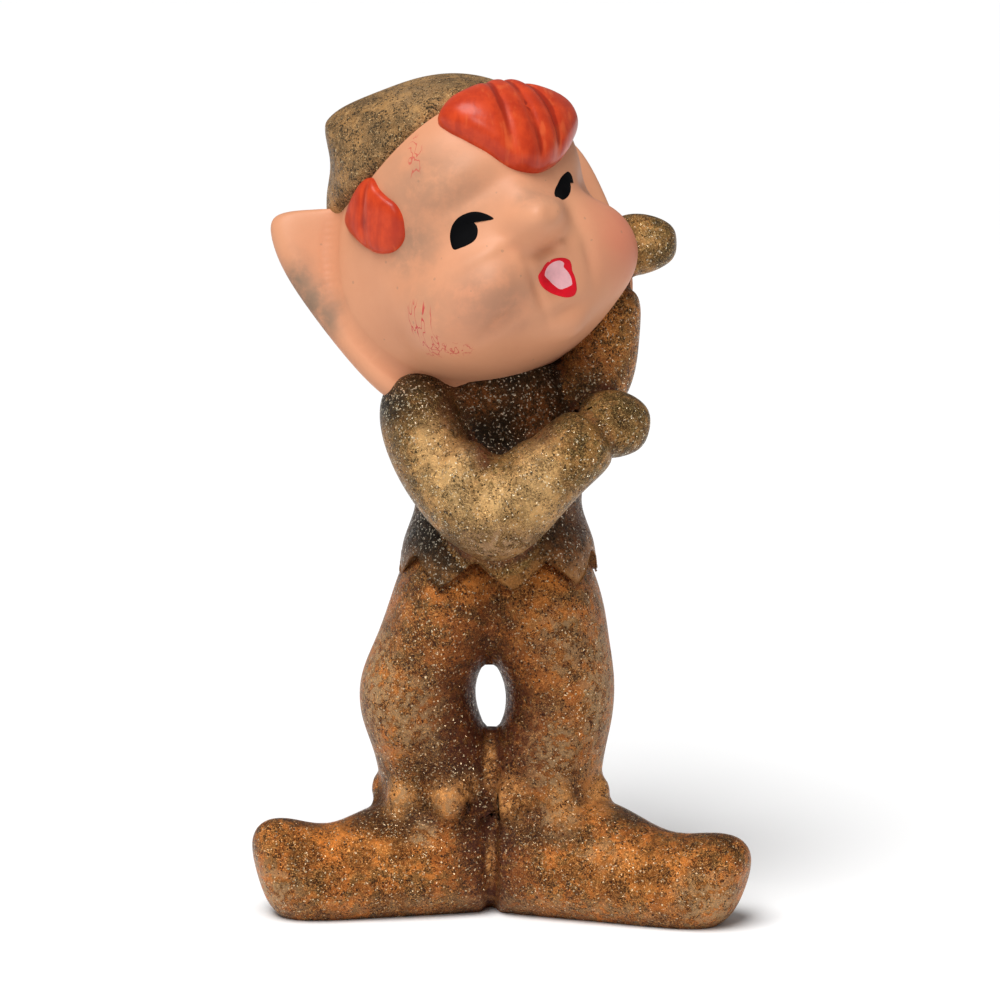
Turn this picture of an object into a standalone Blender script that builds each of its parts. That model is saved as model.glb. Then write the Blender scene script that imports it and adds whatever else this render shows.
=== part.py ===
# Ceramic elf figurine: a standing pixie, cast in parts that are luted together and painted.
# The figure stands on its two soles at z = 0 and looks along -Y. Right and left are its own,
# so its right side lies at -X. Units are metres.

import math

import bmesh
import bpy
import numpy as np
from mathutils import Euler, Matrix, Vector

mm = 0.001
degree = math.pi / 180
right = -1
left = 1

# Seats between the castings, and the plane where the two legs and shoes meet
seat_gap = 0.3 * mm
crease_x = -1.6 * mm
crease_turn = 5 * degree
crease_overlap = 2.2 * mm

# Shoes
right_shoe_length = 31.0 * mm
left_shoe_length = 34.8 * mm
shoe_half_width = 7.8 * mm
instep_height = 14.0 * mm
vamp_height = 11.0 * mm
right_toe_height = 12.7 * mm
left_toe_height = 11.8 * mm
right_shoe_turn = 15 * degree
left_shoe_turn = 22 * degree
shoe_y = 1.0 * mm
collar_wall = 1.3 * mm
collar_height = 14.6 * mm
collar_point = 3.2 * mm
collar_points = 7
drain_radius = 1.6 * mm
drain_depth = 6.0 * mm
drain_reach = 9.0 * mm

# Trousers, with reaches measured out from the crease
ankle_height = 13.0 * mm
ankle_reach = 14.5 * mm
leg_half_depth = 8.2 * mm
hole_bottom_height = 23.2 * mm
hole_top_height = 34.2 * mm
hole_half_width = 2.3 * mm
hole_foot = 2.0 * mm
hole_crown = 1.8 * mm
right_knee_reach = 17.6 * mm
left_knee_reach = 16.3 * mm
hip_height = 42.0 * mm
right_hip_reach = 13.2 * mm
left_hip_reach = 15.1 * mm
hip_half_depth = 10.2 * mm
trousers_top_drop = 4.0 * mm

# Jacket, with its hem measured down and its shoulders up
waist_height = 55.0 * mm
hem_drop = 5.6 * mm
hem_point = 4.6 * mm
hem_points = 8
hem_half_width = 12.9 * mm
hem_half_depth = 11.9 * mm
waist_half_width = 11.2 * mm
waist_half_depth = 10.0 * mm
chest_height = 64.0 * mm
chest_half_width = 12.8 * mm
chest_half_depth = 9.6 * mm
shoulder_rise = 5.5 * mm
shoulder_half_width = 11.4 * mm
neck_rise = 5.0 * mm
neck_half_width = 8.0 * mm
trunk_x = -0.5 * mm
trunk_y = 1.0 * mm
hem_height = waist_height - hem_drop
shoulder_height = chest_height + shoulder_rise

# Arms
upper_arm_radius = 5.9 * mm
forearm_radius = 5.3 * mm
elbow_x = -0.8 * mm
elbow_drop = 16.3 * mm
elbow_front = 14.2 * mm
cuff_x = 10.4 * mm
cuff_drop = 3.6 * mm
far_arm_radius = 4.7 * mm
far_elbow_x = 13.7 * mm
wrist_rise = 15.0 * mm
hand_radius = 4.2 * mm
hand_length = 8.8 * mm

# Head
head_half_width = 17.0 * mm
head_half_depth = 18.2 * mm
head_half_height = 21.0 * mm
head_rise = 20.6 * mm
head_x = -2.8 * mm
head_y = 0.5 * mm
head_turn = 27.5 * degree
head_roll = 23 * degree
head_tilt = 11 * degree

# Ears, cap and hair
ear_reach = 5.9 * mm
ear_sweep = 9.3 * mm
right_ear_top = 14.4 * mm
left_ear_top = 8.5 * mm
ear_bottom = -13.4 * mm
ear_thickness = 3.6 * mm
ear_slope = 3.0 * mm
cap_thickness = 2.6 * mm
cap_peak = 3.4 * mm
lock_thickness = 2.6 * mm
side_lock_thickness = 1.1 * mm


def clear_scene():
    for item in list(bpy.data.objects):
        bpy.data.objects.remove(item, do_unlink=True)


def new_collection(name):
    group = bpy.data.collections.new(name)
    bpy.context.scene.collection.children.link(group)
    return group


def new_material(name, colour, roughness, metallic):
    material = bpy.data.materials.new(name)
    material.use_nodes = True
    shader = material.node_tree.nodes["Principled BSDF"]
    shader.inputs["Base Color"].default_value = (*colour, 1.0)
    shader.inputs["Roughness"].default_value = roughness
    shader.inputs["Metallic"].default_value = metallic
    return material


clear_scene()
figure = new_collection("elf_figurine")
cutters = new_collection("cutters")
skin = new_material("skin_paint", (0.76, 0.41, 0.24), 0.45, 0.0)
hair = new_material("hair_glaze", (0.62, 0.07, 0.02), 0.2, 0.0)
olive = new_material("olive_glitter", (0.23, 0.17, 0.07), 0.5, 0.3)
gold = new_material("gold_lustre", (0.42, 0.26, 0.09), 0.35, 0.7)
black = new_material("black_glitter", (0.06, 0.04, 0.03), 0.4, 0.3)
copper = new_material("copper_lustre", (0.36, 0.13, 0.03), 0.35, 0.7)


def add_object(name, mesh, material=None):
    """A part of the figure, or a cutter where no material is given."""
    item = bpy.data.objects.new(name, mesh)
    if material is None:
        cutters.objects.link(item)
        item.hide_render = True
        item.display_type = "WIRE"
    else:
        figure.objects.link(item)
        mesh.materials.append(material)
    return item


def finish_mesh(name, shape):
    bmesh.ops.recalc_face_normals(shape, faces=shape.faces)
    mesh = bpy.data.meshes.new(name)
    shape.to_mesh(mesh)
    shape.free()
    mesh.shade_smooth()
    return mesh


def mesh_from_rings(name, rings, fan=True):
    """A closed skin over rows of points: each row is one ring, and both ends are capped."""
    shape = bmesh.new()
    rows = [[shape.verts.new(point) for point in ring] for ring in rings]
    count = len(rows[0])
    for lower, upper in zip(rows, rows[1:]):
        for index in range(count):
            after = (index + 1) % count
            shape.faces.new((lower[index], lower[after], upper[after], upper[index]))
    for row in (rows[0], rows[-1]):
        if fan:
            middle = shape.verts.new(sum((vert.co for vert in row), Vector()) / count)
            for index in range(count):
                shape.faces.new((row[index], row[(index + 1) % count], middle))
        else:
            shape.faces.new(row)
    return finish_mesh(name, shape)


def smooth_from_rings(name, rings, material=None):
    """The same skin as a cage, rounded off by subdivision."""
    return smooth(add_object(name, mesh_from_rings(name, rings, False), material))


def smooth(item, levels=2):
    modifier = item.modifiers.new("Smooth", "SUBSURF")
    modifier.levels = levels
    modifier.render_levels = levels
    return item


def combine(item, other, operation):
    modifier = item.modifiers.new(operation.capitalize(), "BOOLEAN")
    modifier.operation = operation
    modifier.object = other
    modifier.solver = "EXACT"
    return item


def seat_on(item, *neighbours):
    """Cuts the room that each swollen neighbour needs out of the item."""
    for neighbour in neighbours:
        combine(item, neighbour, "DIFFERENCE")
    return item


def cage_share(sides):
    """How far inside its cage a subdivided ring of so many sides comes to lie."""
    return (2 + math.cos(2 * math.pi / sides)) / 3


def level_ring(centre, half_width, half_depth, sides):
    """A level ellipse, swollen so that its smoothed skin has the sizes given."""
    share = cage_share(sides)
    angles = [2 * math.pi * step / sides for step in range(sides)]
    return [
        Vector(centre) + Vector((half_width * math.cos(angle), half_depth * math.sin(angle), 0)) / share
        for angle in angles
    ]


def tube(name, stations, swell, material=None, sides=6):
    """A smoothed limb along a path. Each station is (centre, radius)."""
    share = cage_share(sides)
    centres = [Vector(station[0]) for station in stations]
    rings = []
    for index, (centre, radius) in enumerate(stations):
        before = centres[max(index - 1, 0)]
        after = centres[min(index + 1, len(centres) - 1)]
        along = (after - before).normalized()
        side = along.cross(Vector((0, -1, 0))).normalized()
        rise = side.cross(along).normalized()
        ring = []
        for step in range(sides):
            angle = 2 * math.pi * step / sides
            offset = (side * math.cos(angle) + rise * math.sin(angle)) * (radius + swell)
            ring.append(Vector(centre) + offset / share)
        rings.append(ring)
    return smooth_from_rings(name, rings, material)


def box_cutter(name, low, high, turn=0.0, pivot=(0, 0, 0)):
    shape = bmesh.new()
    bmesh.ops.create_cube(shape, size=1.0)
    for vert in shape.verts:
        vert.co = Vector(low[axis] + (high[axis] - low[axis]) * (vert.co[axis] + 0.5) for axis in range(3))
    bmesh.ops.rotate(shape, verts=shape.verts, cent=pivot, matrix=Matrix.Rotation(turn, 3, "Z"))
    return add_object(name, finish_mesh(name, shape))


# Trousers


def ankle_section(side):
    """Middle and half width of a leg at its ankle."""
    inner = -0.5 * crease_overlap
    return crease_x + side * 0.5 * (ankle_reach + inner), 0.5 * (ankle_reach - inner)


def leg_form(side, swell, name, material=None):
    """One leg from the ankle to the waist, by its reach out from the crease and in towards it."""
    knee = right_knee_reach if side == right else left_knee_reach
    hip = right_hip_reach if side == right else left_hip_reach
    hole = hole_top_height - hole_bottom_height
    room = 1.12 * hole_half_width
    seam = -crease_overlap
    depth = leg_half_depth
    stations = [
        (0.70 * ankle_height, ankle_reach, 0.5 * seam, 0.88 * depth, shoe_y),
        (hole_bottom_height - hole_foot, 0.7 * ankle_reach + 0.3 * knee, seam, 0.96 * depth, 0.6 * shoe_y),
        (hole_bottom_height + 0.26 * hole, knee, room, 1.03 * depth, 0.0),
        (hole_bottom_height + 0.74 * hole, 1.02 * knee, room, 1.06 * depth, 0.0),
        (hole_top_height + hole_crown, 0.45 * knee + 0.55 * hip, 1.2 * seam, 1.12 * depth, 0.0),
        (hip_height, hip, 1.5 * seam, hip_half_depth, 0.5 * trunk_y),
        (waist_height - trousers_top_drop, 0.80 * hip, seam, 0.78 * hip_half_depth, trunk_y),
    ]
    rings = []
    for height, outer, inner, deep, y in stations:
        middle = crease_x + side * 0.5 * (outer + inner)
        rings.append(level_ring((middle, y, height), 0.5 * (outer - inner) + swell, deep + swell, 6))
    return smooth_from_rings(name, rings, material)


trousers = leg_form(right, 0.0, "trousers", copper)
combine(trousers, leg_form(left, 0.0, "trousers_left_leg"), "UNION")
both_sides = ((right, "right"), (left, "left"))
leg_rooms = [leg_form(side, seat_gap, word + "_leg_room") for side, word in both_sides]


# Shoes


def collar_form(side, name):
    """The shoe's collar round the ankle: a plug whose upper edge stands up in rounded points."""
    middle, half_width = ankle_section(side)
    grown = seat_gap + collar_wall
    steps = 4
    sides = collar_points * steps
    levels = ((0.30, 0.66, False), (0.56, 0.93, False), (0.85, 1.0, False), (1.0, 1.0, True))
    rings = []
    for height, flare, pointed in levels:
        ring = []
        for step in range(sides):
            angle = 2 * math.pi * step / sides - 0.5 * math.pi
            wave = 0.5 + 0.5 * math.cos(2 * math.pi * step / steps)
            rise = collar_point * wave if pointed else 0
            x = middle + (half_width + grown) * flare * math.cos(angle)
            y = shoe_y + (0.90 * leg_half_depth + grown) * flare * math.sin(angle)
            ring.append(Vector((x, y, collar_height * height + rise)))
        rings.append(ring)
    return add_object(name, mesh_from_rings(name, rings))


def shoe_form(side, name, material=None):
    """One shoe as a smoothed run of sections from the heel to the upturned toe."""
    turn = right_shoe_turn if side == right else left_shoe_turn
    length = right_shoe_length if side == right else left_shoe_length
    toe_height = right_toe_height if side == right else left_toe_height
    direction = Vector((side * math.cos(turn), -math.sin(turn), 0))
    across = Vector((-direction.y, direction.x, 0))
    start = Vector((crease_x, shoe_y, 0))
    wide = shoe_half_width
    sections = [
        (-0.14, 0.98 * wide, 0.80 * instep_height, 0.0, -0.1),
        (0.16, 1.12 * wide, instep_height, 0.0, -0.1),
        (0.46, 1.04 * wide, 1.10 * instep_height, 0.0, -0.1),
        (0.69, 0.84 * wide, vamp_height, 0.0, -0.1),
        (0.87, 0.79 * wide, 1.05 * toe_height, 0.02, -0.1),
        (0.98, 0.58 * wide, 1.04 * toe_height, 0.04, 0.0),
        (1.03, 0.30 * wide, 0.82 * toe_height, 0.04, 0.2),
    ]
    sides = 6
    share = cage_share(sides)
    rings = []
    for place, half_width, height, lean, lift in sections:
        centre = start + direction * (place * length)
        bottom = lift * toe_height
        half_height = (height - bottom) / 2
        ring = []
        for step in range(sides):
            angle = 2 * math.pi * (step + 0.5) / sides
            forward = direction * (lean * length * math.sin(angle))
            point = centre + across * (half_width * math.cos(angle) / share) + forward
            point.z = bottom + half_height + half_height * math.sin(angle) / share
            ring.append(point)
        rings.append(ring)
    return smooth_from_rings(name, rings, material)


def drain_cutter(side, name):
    """The small hole under the foot through which the casting slip was drained."""
    shape = bmesh.new()
    bmesh.ops.create_cone(
        shape, cap_ends=True, segments=12, radius1=drain_radius, radius2=drain_radius, depth=2 * drain_depth
    )
    bmesh.ops.translate(shape, verts=shape.verts, vec=(crease_x + side * drain_reach, shoe_y, 0))
    return add_object(name, finish_mesh(name, shape))


def shoe(side, name):
    """The shoe with its flat sole, its face at the crease and the socket for the ankle."""
    item = shoe_form(side, name, copper)
    combine(item, collar_form(side, name + "_collar"), "UNION")
    far = 2 * left_shoe_length
    sole = box_cutter(name + "_sole_cut", (-far, -far, -far), (far, far, 0))
    face = crease_x + side * 0.5 * seat_gap
    low = (min(face, -side * far), -far, -far)
    high = (max(face, -side * far), far, far)
    crease = box_cutter(name + "_crease_cut", low, high, crease_turn, (face, shoe_y, 0))
    return seat_on(item, *leg_rooms, sole, crease, drain_cutter(side, name + "_drain"))


right_shoe = shoe(right, "right_shoe")
left_shoe = shoe(left, "left_shoe")


# Head


def head_relief(around, above):
    """Height of the face over the skull, by angle around it from the nose and above its level."""

    def hump(size, at_around, at_above, wide, tall):
        return size * np.exp(-(((around - at_around) / wide) ** 2) - ((above - at_above) / tall) ** 2)

    cheeks = hump(4.2, -0.90, -0.46, 0.50, 0.34) + hump(3.1, 0.90, -0.52, 0.46, 0.34)
    nose = hump(3.2, 0.0, -0.07, 0.20, 0.14) + hump(0.9, 0.0, 0.10, 0.16, 0.20)
    eyes = hump(-0.9, -0.45, 0.12, 0.30, 0.20) + hump(-0.9, 0.45, 0.12, 0.30, 0.20)
    temples = hump(-1.4, -0.95, 0.22, 0.40, 0.32) + hump(-2.3, 1.00, -0.01, 0.36, 0.18)
    brow = hump(1.8, 0.0, 0.74, 0.80, 0.34) + hump(1.6, 1.10, 0.55, 0.40, 0.22)
    mouth = hump(-1.7, 0.0, -0.50, 0.14, 0.13)
    chin = hump(0.9, 0.0, -0.90, 0.40, 0.24)
    throat = -2.8 * np.exp(-(((above + 0.5 * math.pi) / 0.55) ** 2))
    return (cheeks + nose + eyes + temples + brow + mouth + chin + throat) * mm


def head_surface(directions, lift):
    """Point of the head along each direction in its own axes: x side, -y face, z crown."""
    x, y, z = directions.T
    reach = np.sqrt((x / head_half_width) ** 2 + (y / head_half_depth) ** 2 + (z / head_half_height) ** 2)
    around = np.arctan2(x, -y)
    above = np.arcsin(np.clip(z, -1, 1))
    return directions * (1 / reach + head_relief(around, above) + lift)[:, None]


head_centre = Vector((head_x, head_y, shoulder_height + head_rise))
head_rotation = (
    Euler((0, -head_roll, 0)).to_matrix()
    @ Euler((0, 0, head_turn)).to_matrix()
    @ Euler((-head_tilt, 0, 0)).to_matrix()
)


def on_figure(local):
    """From the head's own axes to the figure's."""
    return np.asarray(local) @ np.array(head_rotation).T + np.array(head_centre)


def head_form(name, lift, material=None):
    """A sphere with its poles at the face and the nape, where its rings lie close."""
    shape = bmesh.new()
    bmesh.ops.create_uvsphere(shape, u_segments=36, v_segments=24, radius=1.0)
    directions = np.array([(vert.co.x, -vert.co.z, vert.co.y) for vert in shape.verts])
    directions = directions / np.linalg.norm(directions, axis=1)[:, None]
    for vert, place in zip(shape.verts, on_figure(head_surface(directions, lift))):
        vert.co = place
    return add_object(name, finish_mesh(name, shape), material)


head = head_form("head", 0.0, skin)
head_room = head_form("head_room", seat_gap)


# Jacket


def smooth_values(levels, values, at):
    """Value between the given levels, on a smooth curve through them."""
    levels = np.array(levels)
    values = np.array(values)
    slopes = np.gradient(values, levels)
    low = int(np.clip(np.searchsorted(levels, at) - 1, 0, len(levels) - 2))
    span = levels[low + 1] - levels[low]
    t = (at - levels[low]) / span
    return (
        (2 * t**3 - 3 * t**2 + 1) * values[low]
        + (t**3 - 2 * t**2 + t) * span * slopes[low]
        + (3 * t**2 - 2 * t**3) * values[low + 1]
        + (t**3 - t**2) * span * slopes[low + 1]
    )


def jacket_form(swell, name, material=None):
    """The trunk from its hem, whose lower edge runs in points, up to the neck."""
    levels = [hem_height - hem_point, hem_height, waist_height, chest_height, shoulder_height]
    widths = [1.03 * hem_half_width, hem_half_width, waist_half_width, chest_half_width, shoulder_half_width]
    depths = [1.02 * hem_half_depth, hem_half_depth, waist_half_depth, chest_half_depth]
    levels.append(shoulder_height + neck_rise)
    widths.append(neck_half_width)
    depths += [0.92 * chest_half_depth, neck_half_width]
    steps = 4
    sides = hem_points * steps
    rows = 8
    rings = []
    for row in range(rows + 1):
        share = row / rows
        ring = []
        for step in range(sides):
            angle = 2 * math.pi * step / sides - math.pi / 2 + 8.5 * degree
            wave = abs((step / steps) % 1.0 * 2 - 1)
            low = hem_height - hem_point * wave * (1 - share) ** 4 - (swell if row == 0 else 0)
            z = low + (levels[-1] + swell - low) * share
            wide = smooth_values(levels, widths, z) + swell
            deep = smooth_values(levels, depths, z) + swell
            ring.append(Vector((trunk_x + wide * math.cos(angle), trunk_y + deep * math.sin(angle), z)))
        rings.append(ring)
    return add_object(name, mesh_from_rings(name, rings), material)


jacket = seat_on(jacket_form(0.0, "jacket", black), *leg_rooms, head_room)
jacket_room = jacket_form(seat_gap, "jacket_room")


# Arms

shoulder_x = 0.96 * chest_half_width
shoulder_z = shoulder_height - 0.1 * upper_arm_radius
front_y = trunk_y - elbow_front
elbow_z = shoulder_height - elbow_drop
cuff_z = shoulder_height - cuff_drop
wrist_z = shoulder_height + wrist_rise


def right_sleeve_form(swell, name, material=None):
    """The near arm: down from the shoulder, round the elbow in front, and up to its cuff."""
    outer_x = trunk_x - shoulder_x
    upper = (0.35 * elbow_x + 0.65 * outer_x, 0.72 * front_y, 0.42 * shoulder_z + 0.58 * elbow_z)
    cuff = (1.17 * cuff_x, front_y + 0.49 * forearm_radius, cuff_z + 0.23 * forearm_radius)
    stations = [
        ((0.56 * outer_x, trunk_y + 0.25 * upper_arm_radius, shoulder_z), 0.70 * upper_arm_radius),
        ((outer_x, trunk_y - 0.68 * upper_arm_radius, shoulder_z), upper_arm_radius),
        (upper, upper_arm_radius),
        ((elbow_x, front_y, elbow_z), 1.30 * forearm_radius),
        ((0.44 * elbow_x + 0.56 * cuff_x, 1.02 * front_y, 0.30 * elbow_z + 0.70 * cuff_z), forearm_radius),
        ((cuff_x, front_y + 0.34 * forearm_radius, cuff_z), 0.98 * forearm_radius),
        (cuff, 0.56 * forearm_radius),
    ]
    return tube(name, stations, swell, material)


def right_hand_form(swell, name, material=None):
    """The near hand as a mitten: its heel, its palm and its fingertips."""
    heel = (cuff_x + 0.07 * hand_length, front_y + 0.62 * hand_radius, cuff_z + 0.33 * hand_radius)
    palm = (cuff_x + 0.5 * hand_length, front_y + 0.95 * hand_radius, cuff_z + 0.62 * hand_radius)
    tips = (cuff_x + hand_length, front_y + 1.19 * hand_radius, cuff_z + 0.52 * hand_radius)
    stations = [(heel, 0.80 * hand_radius), (palm, 1.12 * hand_radius), (tips, 0.66 * hand_radius)]
    return tube(name, stations, swell, material)


def left_sleeve_form(swell, name, material=None):
    """The far arm: out from the shoulder to the elbow, then up beside the jaw."""
    inside = (trunk_x + 0.30 * shoulder_x, 2.0 * trunk_y, shoulder_z - 0.3 * far_arm_radius)
    stations = [
        (inside, 0.9 * far_arm_radius),
        ((trunk_x + 0.80 * shoulder_x, trunk_y, shoulder_z - 0.2 * far_arm_radius), 1.1 * far_arm_radius),
        ((0.93 * far_elbow_x, 0.0, shoulder_height + 0.18 * wrist_rise), 1.15 * far_arm_radius),
        ((far_elbow_x, trunk_y, shoulder_height + 0.62 * wrist_rise), far_arm_radius),
        ((1.09 * far_elbow_x, 2.4 * trunk_y, wrist_z), 0.86 * far_arm_radius),
    ]
    return tube(name, stations, swell, material)


def left_hand_form(swell, name, material=None):
    """The far hand, bent outwards on its wrist."""
    palm_x = far_elbow_x + 0.5 * hand_length
    tips_x = far_elbow_x + 1.07 * hand_length
    heel = (far_elbow_x, trunk_y + 0.62 * hand_radius, wrist_z + 0.90 * hand_radius)
    palm = (palm_x, trunk_y + 0.62 * hand_radius, wrist_z + 1.12 * hand_radius)
    tips = (tips_x, trunk_y + 0.48 * hand_radius, wrist_z + 1.2 * hand_radius)
    stations = [(heel, 0.85 * hand_radius), (palm, 1.12 * hand_radius), (tips, 0.64 * hand_radius)]
    return tube(name, stations, swell, material)


right_sleeve = seat_on(right_sleeve_form(0.0, "right_sleeve", gold), jacket_room, head_room)
right_sleeve_room = right_sleeve_form(seat_gap, "right_sleeve_room")
left_sleeve = left_sleeve_form(0.0, "left_sleeve", copper)
seat_on(left_sleeve, jacket_room, head_room, right_sleeve_room)
left_sleeve_room = left_sleeve_form(seat_gap, "left_sleeve_room")
right_hand = right_hand_form(0.0, "right_hand", gold)
seat_on(right_hand, right_sleeve_room, left_sleeve_room, jacket_room)
left_hand = seat_on(left_hand_form(0.0, "left_hand", gold), left_sleeve_room, head_room)


# Cap and hair, as pads that lie on the head


def pad_on_head(name, pole, reach, thickness, rings, sides, material=None, swell=0.0):
    """A pad on the head round a pole: its reach by bearing, its thickness by place."""
    pole = np.array(pole) / np.linalg.norm(pole)
    east = np.cross((0, 0, 1), pole)
    east = east / np.linalg.norm(east)
    north = np.cross(pole, east)
    bearings = np.arange(sides) * 2 * math.pi / sides
    spread = reach(bearings) + swell / head_half_depth
    outer = [ring / rings for ring in range(1, rings + 1)]
    rows = []
    for share, is_outer in [(s, True) for s in outer] + [(s, False) for s in outer[::-1]]:
        angle = share * spread
        directions = (
            np.cos(angle)[:, None] * pole
            + (np.sin(angle) * np.cos(bearings))[:, None] * north
            + (np.sin(angle) * np.sin(bearings))[:, None] * east
        )
        lift = seat_gap + (thickness(share, directions) + swell if is_outer else -3 * swell)
        rows.append([Vector(point) for point in on_figure(head_surface(directions, lift))])
    return add_object(name, mesh_from_rings(name, rows), material)


def by_bearing(*values):
    """A smooth closed outline from reaches at evenly spaced bearings, the first to the north."""
    knots = np.array(values)
    count = len(knots)

    def reach(bearings):
        place = bearings / (2 * math.pi) * count
        low = np.floor(place).astype(int)
        t = place - low
        a, b, c, d = (knots[(low + shift) % count] for shift in (-1, 0, 1, 2))
        square = 2 * a - 5 * b + 4 * c - d
        cube = 3 * b - a - 3 * c + d
        return 0.5 * (2 * b + (c - a) * t + square * t**2 + cube * t**3)

    return reach


def rounded(thickness):
    """A pad of even thickness with a rounded rim."""

    def at(share, directions):
        return thickness * math.sqrt(1 - 0.9 * share**3) * np.ones(len(directions))

    return at


def cap_thickness_at(share, directions):
    """The cap's wall with the blunt corner behind the crown, steep towards the ear."""
    corner = np.array((-0.40, 0.10, 0.91))
    corner = corner / np.linalg.norm(corner)
    steep = np.array((-0.5, 0.5, -0.4))
    away = np.arccos(np.clip(directions @ corner, -1, 1))
    down = np.clip((directions - corner) @ steep, 0, None)
    bulge = np.exp(-(((away**2 + (2.3 * down) ** 2) ** 0.5 / 0.26) ** 1.4))
    return cap_thickness * math.sqrt(1 - 0.7 * share**4) + cap_peak * bulge


def cap_form(swell, name, material=None):
    towards_ear = (1.37, 1.22, 0.95, 0.86, 1.02, 1.22, 1.33)
    reach = by_bearing(1.42, *towards_ear, 1.38, *towards_ear[::-1])
    return pad_on_head(name, (0, 0.70, 0.72), reach, cap_thickness_at, 7, 30, material, swell)


cap = cap_form(0.0, "cap", olive)
cap_room = cap_form(seat_gap, "cap_room")


# Ears


def ear_form(side, swell, name, material=None):
    """A long leaf whose root lies in the side of the head and whose rim stands out and back."""
    top = right_ear_top if side == right else left_ear_top
    levels = [
        (-0.05, -0.30, 0.62, 0.7),
        (0.20, 0.42, 0.80, 0.9),
        (0.56, 0.84, 0.96, 1.0),
        (0.90, 1.10, 1.04, 1.0),
        (1.05, 1.00, 1.02, 0.7),
    ]
    rings = []
    for level, reach, sweep, thick in levels:
        z = ear_bottom + level * (top - ear_bottom)
        rim = Vector((side * (head_half_width + reach * ear_reach), sweep * ear_sweep, z))
        root = Vector((side * 0.60 * head_half_width, 0.1 * ear_sweep, z - level**2 * ear_slope))
        run = rim - root
        outward = run.normalized()
        front = Vector((outward.y, -outward.x, 0)) * side
        half = 0.5 * thick * ear_thickness + swell
        places = [
            rim + outward * (0.8 * mm + swell),
            rim - run * 0.16 + front * half * 1.3,
            rim - run * 0.55 + front * half * 0.5,
            root,
            rim - run * 0.55 - front * half * 1.4,
            rim - run * 0.16 - front * half * 1.3,
        ]
        rings.append([Vector(point) for point in on_figure([tuple(place) for place in places])])
    return smooth_from_rings(name, rings, material)


right_ear = ear_form(right, 0.0, "right_ear", skin)
seat_on(right_ear, right_sleeve_room, jacket_room, head_room, cap_room)
left_ear = ear_form(left, 0.0, "left_ear", skin)
left_hand_room = left_hand_form(seat_gap, "left_hand_room")
seat_on(left_ear, left_sleeve_room, left_hand_room, jacket_room, head_room, cap_room)


# Hair

lock_outline = by_bearing(0.35, 0.42, 0.50, 0.62, 0.40, 0.32, 0.33, 0.42, 0.46, 0.48, 0.52, 0.38)
forelock = pad_on_head("forelock", (0.29, -0.78, 0.55), lock_outline, rounded(lock_thickness), 4, 24, hair)
side_outline = by_bearing(0.33, 0.27, 0.22, 0.25, 0.24, 0.27, 0.25, 0.22, 0.22, 0.27, 0.44, 0.38)
mirrored_outline = by_bearing(0.34, 0.32, 0.25, 0.25, 0.32, 0.25, 0.20, 0.22)
side_pad = rounded(side_lock_thickness)
right_side_lock = pad_on_head("right_side_lock", (-0.81, -0.35, 0.46), side_outline, side_pad, 3, 20, hair)
left_side_lock = pad_on_head("left_side_lock", (0.88, 0.08, 0.46), mirrored_outline, side_pad, 3, 16, hair)
right_ear_room = ear_form(right, seat_gap, "right_ear_room")
left_ear_room = ear_form(left, seat_gap, "left_ear_room")
seat_on(forelock, cap_room)
seat_on(right_side_lock, cap_room, right_ear_room)
seat_on(left_side_lock, cap_room, left_ear_room)
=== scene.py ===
# Ceramic elf figurine: its painted castings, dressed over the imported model.
# Metres, +Z up, chest towards -Y. Right and left are the figure's own, so its right is at -X.
import math

import bmesh
import bpy
import numpy as np
from mathutils import Euler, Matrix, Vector


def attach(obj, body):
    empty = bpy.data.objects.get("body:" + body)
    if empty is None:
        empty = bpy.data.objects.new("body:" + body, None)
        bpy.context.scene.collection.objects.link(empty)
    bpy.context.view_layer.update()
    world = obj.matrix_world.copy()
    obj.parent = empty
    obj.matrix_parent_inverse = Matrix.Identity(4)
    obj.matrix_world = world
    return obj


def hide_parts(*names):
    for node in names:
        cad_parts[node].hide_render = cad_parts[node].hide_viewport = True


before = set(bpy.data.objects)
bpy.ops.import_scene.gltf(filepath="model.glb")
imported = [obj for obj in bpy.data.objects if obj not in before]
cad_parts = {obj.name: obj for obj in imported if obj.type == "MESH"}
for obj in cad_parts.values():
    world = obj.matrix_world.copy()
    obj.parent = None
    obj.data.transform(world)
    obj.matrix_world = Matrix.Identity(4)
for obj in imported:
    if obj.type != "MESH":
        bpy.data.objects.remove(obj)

mm = 0.001
degree = math.pi / 180
rightSide = -1
leftSide = 1
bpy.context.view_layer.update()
print("packed model loaded:", len(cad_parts), "nodes")


# Surfaces. A skin is worked out as a grid of points, rows by columns, closed round the rows
# and drawn to one point at its first and last row.

def splineWeights(count, controls, closed):
    # Uniform cubic B-spline: each sample is a weighted sum of the four controls nearest to it,
    # with weights (1-t)^3, 3t^3-6t^2+4, -3t^3+3t^2+3t+1 and t^3, all over 6
    spans = controls if closed else controls - 3
    place = np.arange(count) * spans / (count if closed else count - 1)
    low = np.minimum(place.astype(int), spans - 1)
    t = (place - low)[:, None]
    parts = np.hstack([(1 - t) ** 3, 3 * t**3 - 6 * t**2 + 4, -3 * t**3 + 3 * t**2 + 3 * t + 1, t**3]) / 6
    used = (low[:, None] + np.arange(4) - (1 if closed else 0)) % controls
    weights = np.zeros((count, controls))
    np.add.at(weights, (np.arange(count)[:, None], used), parts)
    return weights


def netSkin(net, rows=110, columns=96):
    # Skin over a net of rings: point(r, c) = sum of weight along (r) x weight round (c) x net point.
    # The middle of each end ring stands three times beyond it, which closes the end in a dome
    ends = [np.broadcast_to(net[k].mean(axis=0), (3,) + net.shape[1:]) for k in (0, -1)]
    full = np.concatenate([ends[0], net, ends[1]])
    along = splineWeights(rows, len(full), False)
    around = splineWeights(columns, net.shape[1], True)
    return np.einsum("cj,rjk->rck", around, np.einsum("ri,ijk->rjk", along, full))


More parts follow.
